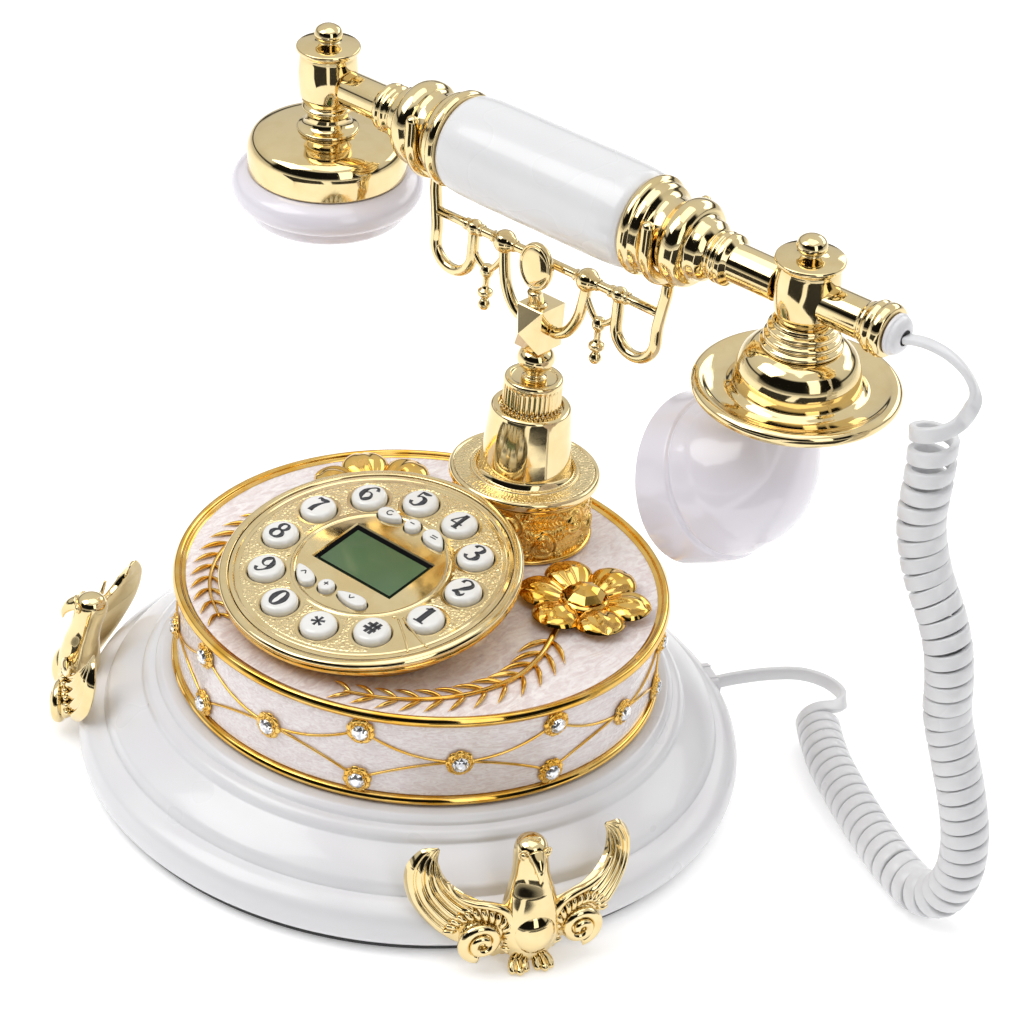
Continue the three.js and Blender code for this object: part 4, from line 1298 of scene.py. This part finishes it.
def make_block():
    piece = Piece()
    facet_box(piece, (0, COLUMN_Y, 150), (10.7, 12.4, 15.8), 0.35, 4.9)
    piece.flats = [True] * len(piece.flats)
    post = smooth_line([(0, 47, 157.5), (0, 46.2, 160), (0, 44.9, 163.6)], 0.4)
    piece.tube(post, 2.5, 32)
    piece.place(move(0, 47, 157.9)).lathe(rounded([(0, 0), (3.3, 0), (3.5, .5), (2.6, 1)], 0.3), 40)
    settle(piece.build("faceted_block", [pale_gold]), "cradle", "pale_gold", "cradle_block")


def make_mirror():
    piece = Piece().place(move(0, 44.5, 172.9) @ turn("X", 90) @ scale(6.9, 8.6, 1))
    profile = [(0, -1.5), (0.86, -1.5), (0.95, -1.1), (0.985, -0.4), (0.985, 0.5), (0.95, 1.1),
               (0.89, 1.35), (0.84, 1.2), (0.81, 0.75)]
    profile += [(r, 0.7 + 1.15 * math.sqrt(max(0, 1 - (r / 0.82) ** 2)))
                for r in np.linspace(0.79, 0.0, 16)]
    piece.lathe(profile, 96)
    settle(piece.build("oval_mirror", [pale_gold]), "cradle", "pale_gold", "cradle_mirror")


def beaded(piece, at, radius):
    """A ball on the bar between two small rings."""
    keep = piece.at
    piece.at = keep @ move(*at) @ turn("Y", 90)
    profile = [(1.7, -radius - 1.2), (2.2, -radius - 0.9, .3), (2.2, -radius + 0.1, .3)]
    profile += [(radius * math.sin(a), -radius * math.cos(a)) for a in np.linspace(.75, 2.39, 16)]
    profile += [(2.2, radius - 0.1, .3), (2.2, radius + 0.9, .3), (1.7, radius + 1.2)]
    piece.lathe(rounded(profile, 0.1, 2), 40)
    piece.at = keep


def make_yoke():
    piece = Piece().place(COLUMN)
    piece.tube([(x, 0, 173.5) for x in np.linspace(-48, 48, 9)], 1.65, 24)
    for side in (-1, 1):
        piece.place(COLUMN @ scale(side, 1, 1))
        middle, half, low = 39.75, 8.25, 154.5
        path = [(31.5, 173.5), (31.5, 169), (31.5, 165)]
        path += [(middle - half * math.cos(a), low + half - half * math.sin(a))
                 for a in np.linspace(0, math.pi, 14)]
        path += [(48, 168), (48.5, 172), (49.3, 177), (49.9, 181), (50, 185.1)]
        piece.tube(smooth_line([(x, 0, z) for x, z in path], 0.8), 2.05, 22)
        beaded(piece, (31.5, 0, 173.5), 2.9)
        beaded(piece, (18, 0, 173.5), 4.1)
        arm = [(5.9, 149.4), (8, 149.5), (11.5, 151.6), (14.2, 155.2), (16.2, 160), (17.3, 166),
               (17.8, 171)]
        piece.tube(smooth_line([(x, 0, z) for x, z in arm], 0.7), 2.0, 22)
        for branch in ([(18, 168), (19.8, 164.8), (22, 162), (24.5, 160.2)],
                       [(31.5, 166.5), (29.8, 163.6), (27.3, 161.4), (24.5, 160.2)]):
            piece.tube(smooth_line([(x, 0, z) for x, z in branch], 0.6), 1.15, 16)
        piece.place(COLUMN @ move(side * 24.5, 0, 0))
        drop = [(0, 145.2), (1.4, 145.5, .5), (2.4, 147.3, .9), (1.4, 149.1, .4), (0.9, 149.5, .2),
                (1.6, 150.0, .3), (2.7, 151.0, .5), (2.7, 152.6, .5), (1.5, 153.5, .3),
                (1.1, 154.5), (1.25, 157.4, .3), (2.3, 158.8, .9), (2.4, 160.4, .9),
                (1.5, 162.2, .4), (0, 162.6)]
        piece.lathe(rounded(drop, 0.3, 4), 36)
    settle(piece.build("cradle_bar", [pale_gold]), "cradle", "pale_gold", "cradle_yoke")


HANDSET_Z = 202.4
HANDSET_TILT = 4
FORK_RADIUS = 14.7


def make_forks():
    for name, side in (("left", -1), ("right", 1)):
        arc = [(COLUMN_Y - FORK_RADIUS * math.cos(a), HANDSET_Z - FORK_RADIUS * math.sin(a))
               for a in np.linspace(0, math.pi, 25)]
        path = [(34.6, 209.4), (34.6, 206)] + arc + [(64, 206), (64, 209.4)]
        line = smooth_line([(side * 50, y, z) for y, z in path], 0.7)
        piece = Piece()
        piece.rounded_bar(line, 2.15, 24)
        settle(piece.build(f"fork_{name}", [pale_gold]), "cradle", "pale_gold",
               f"cradle_fork_{name}")


# ---- Handset ----
HANDSET = move(0, COLUMN_Y, HANDSET_Z) @ turn("X", HANDSET_TILT)
POST_X = 102.0


def make_grip():
    half = [(14.4, 38.7), (15.4, 38.4, .6), (16.5, 36.6, 1.6), (17.0, 32, 4), (17.2, 24, 8),
            (17.2, 12, 6)]
    profile = [(4, -38.7)] + [(r, -x, *rest) for r, x, *rest in half]
    profile += [(r, x, *rest) for r, x, *rest in half[::-1]] + [(4, 38.7)]
    turned_part("pearl_grip", HANDSET @ turn("Y", 90), profile, 160, grip_white,
                ("handset", "pearl_white", "handset_grip"), 0.5, 8)


def make_ferrules():
    profile = [
        (4, 39), (15.2, 39), (16.2, 39.3, .4), (16.8, 40.4, .5), (16.8, 41.8, .6), (16.1, 42.6, .3),
        (15.4, 43.1, .3), (15.3, 44.6, .5), (14.7, 45.9, .5), (13.0, 46.9, .8), (12.1, 48.3, 1),
        (12.1, 51.8, 1), (12.9, 53.1, .6), (13.3, 53.3, .2), (14.5, 54.8, 1), (14.9, 57.2, 1.4),
        (14.3, 59.6, 1.2), (12.8, 61.0, .6), (11.8, 61.3, .2), (11.0, 61.7, .3), (10.5, 62.6, .5),
        (10.1, 65.2, .6), (8.3, 67.0, .4), (7.5, 67.4, .3), (7.6, 68.3, .3), (8.5, 69.2, .5),
        (8.7, 70.3, .4), (8.2, 70.9, .2), (8.2, 71.4, .2), (8.7, 72.1, .3), (8.5, 73.6, .5),
        (7.3, 74.6, .5), (6.5, 75.3, .4), (6.4, 91.8), (4, 91.8),
    ]
    for name, side in (("left", -1), ("right", 1)):
        turned_part(f"ferrule_{name}", HANDSET @ turn("Y", 90 * side), profile, 144, pale_gold,
                    ("handset", "pale_gold", f"handset_ferrule_{name}"), 0.4, 4)


def make_posts():
    barrel = [
        (7.8, -8.2, .4), (8.7, -7.6, .4), (9.2, -6.6, .4), (9.7, -5.4, .8), (10.2, -1.5, 3),
        (10.4, 3, 4), (9.9, 9.2, 2), (9.6, 10.4, .5), (10.0, 11.0, .2), (10.9, 11.5, .3),
        (11.2, 12.3, .4), (10.9, 13.1, .4), (8.2, 13.6, 1), (5.0, 13.9, .8), (3.5, 14.6, .4),
        (3.5, 15.4, .4), (4.7, 16.1, .5), (4.95, 17.3, .7), (4.3, 19.2, 1.2), (2.4, 20.4, 1),
        (0, 20.6),
    ]
    feet = {
        "left": [(0, -18.3), (10.6, -18.3), (10.9, -17.8, .3), (10.6, -17.2, .4), (8.4, -16.4, 1),
                 (7.3, -14.8, 1), (7.0, -12.4, .8), (7.5, -10.6, .5), (8.8, -10.2, .3),
                 (9.1, -9.5, .4), (8.5, -8.8, .3)],
        "right": [(0, -17.7), (12.9, -17.7), (13.3, -17.0, .3), (13.2, -16.2, .4),
                  (12.2, -15.6, .2), (12.0, -15.2, .2), (12.3, -14.5, .3), (12.1, -13.6, .4),
                  (10.9, -13.0, .2), (10.7, -12.4, .2), (11.3, -11.8, .3), (11.2, -10.8, .4),
                  (9.8, -10.2, .2), (9.5, -9.6, .2), (10.1, -9.2, .2), (9.6, -8.5, .2)],
    }
    for name, side in (("left", -1), ("right", 1)):
        at = HANDSET @ move(side * POST_X, 0, 0)
        piece = Piece().place(at).lathe(rounded(feet[name] + barrel, 0.4, 4), 120)
        if side > 0:
            sleeve = [(0, 4), (6.4, 4), (6.4, 22.6, .5), (7.0, 23.6, .3), (7.0, 24.4, .2),
                      (7.9, 25.2, .3), (8.7, 26.7, .6), (8.2, 28.0, .2), (8.2, 28.3, .2),
                      (8.8, 29.4, .5), (8.7, 31.0, .6), (8.0, 32.2, .5), (7.0, 32.4, .2), (0, 32.4)]
            piece.place(at @ turn("Y", 90)).lathe(rounded(sleeve, 0.3, 4), 96)
        settle(piece.build(f"post_{name}", [pale_gold]), "handset", "pale_gold",
               f"handset_post_{name}")
    gland = [(0, 32.7), (6.5, 32.7), (6.8, 33.1, .2), (6.7, 34.0, .2), (6.2, 34.4, .2),
             (6.0, 35.4, .4), (4.9, 36.3, .4), (3.6, 36.8, .2), (2.6, 36.8)]
    turned_part("gland", HANDSET @ move(POST_X, 0, 0) @ turn("Y", 90), gland, 72, satin_white,
                ("handset", "satin_white", "cord_gland"), 0.2)


def hole_pattern(count, spacing):
    """Angle and distance of holes along a spiral that covers a disc evenly."""
    return [(k * 2.4, spacing * math.sqrt(k)) for k in range(count)]


def make_earpiece():
    at = HANDSET @ move(-POST_X, 0, 0)
    cap = [
        (0, -21.4), (20, -22.6), (24.4, -25.4), (24.8, -33.1), (27.7, -33.1), (28.0, -32.7, .3),
        (28.0, -24.2, 3), (26.2, -20.9, 2.4), (22.5, -19.7, 3), (16, -18.9, 3), (11.2, -18.6, .5),
        (10.6, -18.4), (0, -18.4),
    ]
    turned_part("ear_cap", at, cap, 180, pale_gold, ("handset", "pale_gold", "earpiece_cap"),
                0.3, 7)
    cover = [
        (0, -46.8), (10, -47.4), (20, -49.2, 2), (26.4, -50.0, 1.5), (28.4, -48.6, 1.5),
        (29.3, -46.2, 1), (29.5, -44.9, .3), (30.1, -44.3, .3), (32.3, -43.4, 1.2),
        (33.7, -41.0, 1.5), (33.7, -38.0, 1.8), (32.0, -35.4, 1.5), (29.4, -33.9, 1),
        (28.0, -33.4, .3), (24.6, -33.4),
    ]
    piece = Piece().place(at).lathe(rounded(cover, 0.3, 7), 180)
    for a, r in hole_pattern(19, 2.7):
        piece.place(at @ move(*polar(r, a), -46.95 - 0.004 * r * r))
        piece.lathe([(0, 0.1), (0.75, 0.1), (0.95, -0.05), (1.1, 0.0), (1.15, 0.2)], 20, 1)
    settle(piece.build("ear_ring", [gloss_white, black_plastic]), "handset", "gloss_white",
           "earpiece_cover")
    unit = [(0, -44), (15, -44), (16, -43.6), (16, -42.6), (19, -42.2), (19, -37), (17, -36),
            (9, -35.8), (8.6, -34), (0, -34)]
    piece = Piece().place(at).lathe(rounded(unit, 0.4, 3), 96)
    for side in (-1, 1):
        piece.place(at).ball((side * 4, 0, -34.2), (1.2, 1.8, 0.6), 1, 16)
    settle(piece.build("receiver_unit", [black_plastic, pale_gold]), "handset", "black_plastic",
           "earpiece_receiver")


def make_saucer():
    saucer = [
        (0, -37.6), (12.6, -37.6), (13.4, -37.3, .3), (20, -36.6, 3), (29.6, -36.2, 1),
        (32.2, -35.5, .9), (33.4, -33.8, 1), (33.2, -32.0, 1), (31.8, -31.0, .9),
        (30.2, -31.2, .7), (28.4, -32.3, 1), (25.6, -33.1, 1.5), (22.6, -33.0, .6),
        (21.3, -32.0, .4), (20.3, -31.4, .3), (20.1, -29.0, 2), (19.7, -25.0, 3),
        (18.0, -21.0, 3), (15.2, -18.6, 2), (13.1, -17.9, .3), (0, -17.9),
    ]
    turned_part("saucer", HANDSET @ move(POST_X, 0, 0), saucer, 180, pale_gold,
                ("handset", "pale_gold", "mouthpiece_saucer"), 0.3, 6)


def make_horn():
    """A curved horn that widens to its mouth, with a seam round it and a pierced disc inside."""
    at = HANDSET @ move(POST_X, 0, 0)
    a, b, c = np.array([0, 0, -37.7]), np.array([0, 0, -69.0]), np.array([-36, 0, -84.6])
    radii = [9.6, 10.6, 13.2, 18, 22.8, 26, 27.8, 28.4]
    steps = np.linspace(0, 1, 181)
    line = np.array([(1 - t) ** 2 * a + 2 * t * (1 - t) * b + t * t * c for t in steps])
    knots = smooth_line([(i / 7, r, 0) for i, r in enumerate(radii)], 0.01)
    radius = np.interp(steps, knots[:, 0], knots[:, 1])
    seam = 0.8 * np.exp(-((steps - 0.80) / 0.008) ** 2)
    band = 0.7 / (1 + np.exp(-(steps - 0.80) / 0.004)) - 0.5 / (1 + np.exp(-(steps - 0.66) / 0.012))
    radius = radius - seam + band
    way = (c - b) / np.linalg.norm(c - b)
    # The mouth rolls over its rim and dips to a pierced disc.
    lip = [(0.6, -0.7), (1.1, -1.8), (1.3, -3.4), (1.0, -5.2), (0.2, -6.6), (-0.9, -8.4),
           (-1.9, -11), (-2.8, -15), (-3.4, -20), (-3.6, -28.4)]
    extra = [c + way * ahead for ahead, _ in lip]
    line = np.concatenate([line, extra])
    radius = np.concatenate([radius, [radius[-1] + drop for _, drop in lip]])
    side = np.array([0, 1.0, 0])
    rings = []
    for i, (p, r) in enumerate(zip(line, np.maximum(radius, 0.01))):
        if i < len(steps):
            t = steps[i]
            w = 2 * (1 - t) * (b - a) + 2 * t * (c - b)
            w /= np.linalg.norm(w)
        else:
            w = way
        over = np.cross(w, side)
        rings.append([p + r * (math.cos(q) * side + math.sin(q) * over)
                      for q in np.linspace(0, TAU, 128, endpoint=False)])
    piece = Piece().place(at).sheet(np.array(rings)[:, ::-1], 0, closed_u=True)
    over = np.cross(way, side)
    for q, r in hole_pattern(31, 2.9):
        depth = np.interp(radii[-1] - r, [0, 11, 15, 20, radii[-1]], [0, -1.9, -2.8, -3.4, -3.6])
        spot = c + way * (depth + 0.12) + r * (math.cos(q) * side + math.sin(q) * over)
        hole = np.eye(4)
        hole[:3, 0], hole[:3, 1], hole[:3, 2], hole[:3, 3] = side, over, np.cross(side, over), spot
        piece.place(at @ hole).lathe([(0, 0), (0.8, 0), (0.9, 0.1), (1.1, 0.0)], 16, 1)
    settle(piece.build("horn", [gloss_white, black_plastic]), "handset", "gloss_white",
           "mouthpiece_horn")


make_column_base()
make_column_cone()
make_collar()
make_stem()
make_block()
make_mirror()
make_yoke()
make_forks()
make_grip()
make_ferrules()
make_posts()
make_earpiece()
make_saucer()
make_horn()


# ---- Dove feet ----
DOVES = {"dove_right": 61, "dove_left": -55, "dove_rear": 187}


def dove_back(t):
    """Depth of a wing's middle surface at a distance to the side of the bird."""
    return -118.0 + 0.0082 * t * t


def add_wing(piece):
    """The wing on the +X side, closed front and back."""
    spine = smooth_line([(9, 0, 15.5), (15, 0, 16.5), (21, 0, 18), (27, 0, 22), (31.0, 0, 27),
                         (32.4, 0, 32.4), (31.2, 0, 37.4), (28.0, 0, 40.4)], 0.45)
    t = np.linspace(0, 1, len(spine))
    way = np.gradient(spine, axis=0)
    way /= np.linalg.norm(way, axis=1)[:, None]
    across = np.stack([-way[:, 2], 0 * t, way[:, 0]], 1)
    width = np.interp(t, [0, .2, .4, .6, .8, .92, 1], [8.2, 9.0, 8.6, 7.4, 5.2, 3.2, 0.5])
    columns = 40
    front, back = [], []
    for i in range(len(spine)):
        row_front, row_back = [], []
        for u in np.linspace(-1, 1, columns + 1):
            p = spine[i] + across[i] * width[i] * u
            dome = math.sqrt(max(0, 1 - u * u))
            flute = max(0, min(1, (t[i] - 0.30) / 0.12)) * min(1, (1.02 - t[i]) / 0.2)
            ridge = flute * 1.9 * (abs(math.sin((u + 1) * math.pi * 2.5)) ** 0.7 - 0.5)
            thick = min(1, width[i] / 5)
            y = dove_back(p[0]) + 6.0 * t[i] ** 3
            row_front.append((p[0], y - thick * dome ** 0.6 * (2.6 + ridge), p[2]))
            row_back.append((p[0], y + thick * dome * 1.8, p[2]))
        front.append(row_front[::-1])
        back.append(row_back)
    piece.sheet(front)
    piece.sheet(back)


def add_scroll(piece):
    """The coiled shoulder of a wing, ringed with short feathers."""
    middle = (16.5, 12.6)
    line, radii = [], []
    for s in np.linspace(0, 1, 70):
        a = math.radians(-80 + 620 * s)
        r = 6.6 * (1 - 0.80 * s)
        line.append((middle[0] + r * math.cos(a), dove_back(middle[0]) - 3.6 - 2.6 * s,
                     middle[1] + r * math.sin(a)))
        radii.append(2.1 - 0.9 * s)
    piece.tube(line, radii, 18)
    piece.ball((middle[0], dove_back(middle[0]) - 1.5, middle[1]), (6.8, 3.4, 6.8), 0, 36)
    for k in range(15):
        a = math.radians(205 - 13.5 * k)
        inner, outer = 8.0, 10.6
        start = (middle[0] + inner * math.cos(a), 0, middle[1] + inner * math.sin(a))
        end = (middle[0] + outer * math.cos(a - .1), 0, middle[1] + outer * math.sin(a - .1))
        y = dove_back(abs(end[0]))
        piece.rounded_bar([(start[0], y - 3.2, start[2]),
                           ((start[0] + end[0]) / 2, y - 3.6, (start[2] + end[2]) / 2),
                           (end[0], y - 2.9, end[2])], 0.95, 10)
    edge = [(7.6, 6.5), (6.2, 12), (6.8, 18), (9.6, 23.2), (14, 25.2), (19, 26.0), (23.2, 27.6),
            (25.8, 30.4), (27.4, 33.8)]
    edge = smooth_line([(x, dove_back(x) - 2.2, z) for x, z in edge], 0.6)
    piece.tube(edge, spread_along(edge, [0, .2, .7, 1], [1.2, 1.9, 1.3, .5]), 16)


def make_dove(name, angle):
    base = turn("Z", angle)
    piece = Piece().place(base)
    levels = smooth_line([(5.5, 4.4, 3.0), (8.2, 6.2, 6.0), (10.2, 7.6, 11), (10.2, 7.6, 16),
                          (9.2, 6.9, 22), (7.6, 6.0, 28), (6.2, 5.4, 33), (5.7, 5.6, 37.4),
                          (5.5, 5.8, 41), (4.6, 4.8, 43.8), (2.6, 2.8, 45.3), (0.02, 0.02, 45.6)],
                         0.6)
    centre = [(3, -117.4), (11, -117.6), (20, -117), (28, -116), (34, -114.4), (39, -113.2),
              (46, -112.8)]
    rings = []
    for rx, ry, z in levels:
        y = np.interp(z, [c[0] for c in centre], [c[1] for c in centre])
        rings.append([(rx * math.cos(a), y + ry * math.sin(a), z)
                      for a in np.linspace(0, TAU, 48, endpoint=False)])
    piece.sheet(rings, closed_u=True)
    piece.add(rings[0], [list(range(48))[::-1]])
    piece.ball((0, -120.8, 14.6), (7.4, 5.7, 8.4), 0, 48)
    breast = [(7.3 * math.cos(a), -122.1, 14.6 + 8.2 * math.sin(a))
              for a in np.linspace(0, TAU, 48, endpoint=False)]
    piece.tube(breast, 0.42, 8, closed=True)
    beak = smooth_line([(0, -117.4, 41.6), (0, -120.2, 40.2), (0, -122.4, 37.4), (0, -122.9, 34.6)],
                       0.4)
    piece.tube(beak, spread_along(beak, [0, .35, 1], [3.0, 2.1, .25]), 20)
    for side in (-1, 1):
        piece.place(base)
        piece.ball((side * 3.9, -116.7, 41.8), 1.25, 0, 18)
        piece.tube([(side * (3.9 + 1.5 * math.cos(a)), -117.0 + 0.9 * math.cos(a),
                     41.8 + 1.7 * math.sin(a)) for a in np.linspace(0, TAU, 20, endpoint=False)],
                   0.35, 8, closed=True)
        for toe in (-1, 0, 1):
            x = side * 4.0 + toe * 2.1
            piece.rounded_bar(smooth_line([(side * 3.6, -118.5, 4.6), (x, -121.5, 2.7),
                                           (x * 1.05, -124.4 + abs(toe), 1.45)], 0.6), 1.35, 14)
        piece.place(base @ scale(side, 1, 1))
        add_wing(piece)
        add_scroll(piece)
    # A fan tail reaches back towards the plinth and rests on the table.
    piece.place(base)
    for k in range(7):
        x = (k - 3) * 2.6
        piece.rounded_bar(smooth_line([(x * 0.7, -116.5, 9), (x, -114.9, 4.5),
                                       (x * 1.2, -113.2, 1.9)], 0.7), 1.7, 14)
    settle(piece.build(name + "_cast", [pale_gold]), "base", "pale_gold", name)


for dove_name, dove_angle in DOVES.items():
    make_dove(dove_name, dove_angle)


# ---- Parts inside, and the socket at the back ----
def slab(piece, low, high, finish=0, edge=0.3):
    """A box with bevelled edges."""
    rings = []
    for z, inset in ((low[2], edge), (low[2] + edge, 0), (high[2] - edge, 0), (high[2], edge)):
        rings.append([(low[0] + inset, low[1] + inset, z), (high[0] - inset, low[1] + inset, z),
                      (high[0] - inset, high[1] - inset, z), (low[0] + inset, high[1] - inset, z)])
    piece.solid(rings, finish)


JACK_ANGLE = 150


def make_jack():
    piece = Piece().place(turn("Z", JACK_ANGLE) @ move(0, -98, 5))
    slab(piece, (-6.4, -16, 0.1), (6.4, 0, 10.4), 0, 0.8)
    for x in (-3.6, 3.6):
        slab(piece, (x - 0.5, -15.8, 10.3), (x + 0.5, -4, 10.8), 0, 0.2)
    slab(piece, (-4.4, -16.15, 2.2), (4.4, -15.9, 8.2), 1, 0.1)
    slab(piece, (-2.6, -16.3, 3.2), (2.6, -16.0, 6.8), 2, 0.1)
    settle(piece.build("socket", [satin_white, black_plastic, cord_vinyl], smooth=False), "base",
           "satin_white", "cord_jack")


def make_boards():
    piece = Piece()
    slab(piece, (-30, -58, 2.8), (50, -2, 4.4), 0, 0.15)
    chips = [(-20, -50, 14, 9, 1.6), (2, -48, 22, 8, 2.2), (32, -46, 10, 10, 5), (-18, -26, 8, 12, 3),
             (4, -28, 18, 14, 1.8), (30, -24, 12, 9, 7), (-4, -12, 9, 5, 4), (18, -10, 16, 5, 3)]
    for x, y, w, d, h in chips:
        slab(piece, (x - w / 2, y - d / 2, 4.3), (x + w / 2, y + d / 2, 4.4 + h), 1)
        for k in range(int(w // 2)):
            slab(piece, (x - w / 2 + 2 * k + 0.4, y - d / 2 - 1, 4.35),
                 (x - w / 2 + 2 * k + 1.2, y + d / 2 + 1, 4.75), 2, 0.1)
    settle(piece.build("board", [board_green, black_plastic, pale_gold], smooth=False), "base",
           "circuit_board", "main_board")
    piece = Piece().place(DIAL)
    piece.lathe(rounded([(0, -6.1), (42, -6.1), (42, -5.1), (0, -5.1)], 0.2), 120)
    for index in range(len(KEY_NAMES)):
        piece.place(DIAL @ move(*key_place(index)))
        piece.lathe([(0, -5.15), (3.4, -5.15), (3.1, -4.95), (2.2, -4.9), (0, -4.9)], 28, 1)
    settle(piece.build("dial_board", [board_green, pale_gold]), "base", "circuit_board",
           "key_board")


def make_ringer_and_switch():
    piece = Piece().place(move(-45, 30, 0))
    drum = [(0, 2.8), (19, 2.8), (20, 3.4), (20, 9.6), (19, 10.2), (17.4, 10.2), (16.6, 9.4),
            (15, 9.0), (8, 11.6), (6.4, 12.4), (5.6, 13.6), (3, 14), (0, 14)]
    piece.lathe(rounded(drum, 0.5, 4), 96)
    for x, y in ring_of(18.4, 8):
        piece.ball((x, y, 10.2), (0.8, 0.8, 0.3), 1, 12)
    settle(piece.build("ringer_unit", [black_plastic, pale_gold]), "base", "black_plastic",
           "ringer")
    piece = Piece()
    slab(piece, (-7, 44.3, 69.9), (7, 54.3, 92), 0, 0.6)
    slab(piece, (-2.4, 46.6, 91.8), (2.4, 52, 97.7), 0, 0.5)
    for x in (-4, 0, 4):
        slab(piece, (x - 0.6, 48.8, 69.8), (x + 0.6, 49.8, 72), 1, 0.1)
    settle(piece.build("switch_unit", [black_plastic, pale_gold], smooth=False), "base",
           "black_plastic", "hook_switch")


make_jack()
make_boards()
make_ringer_and_switch()
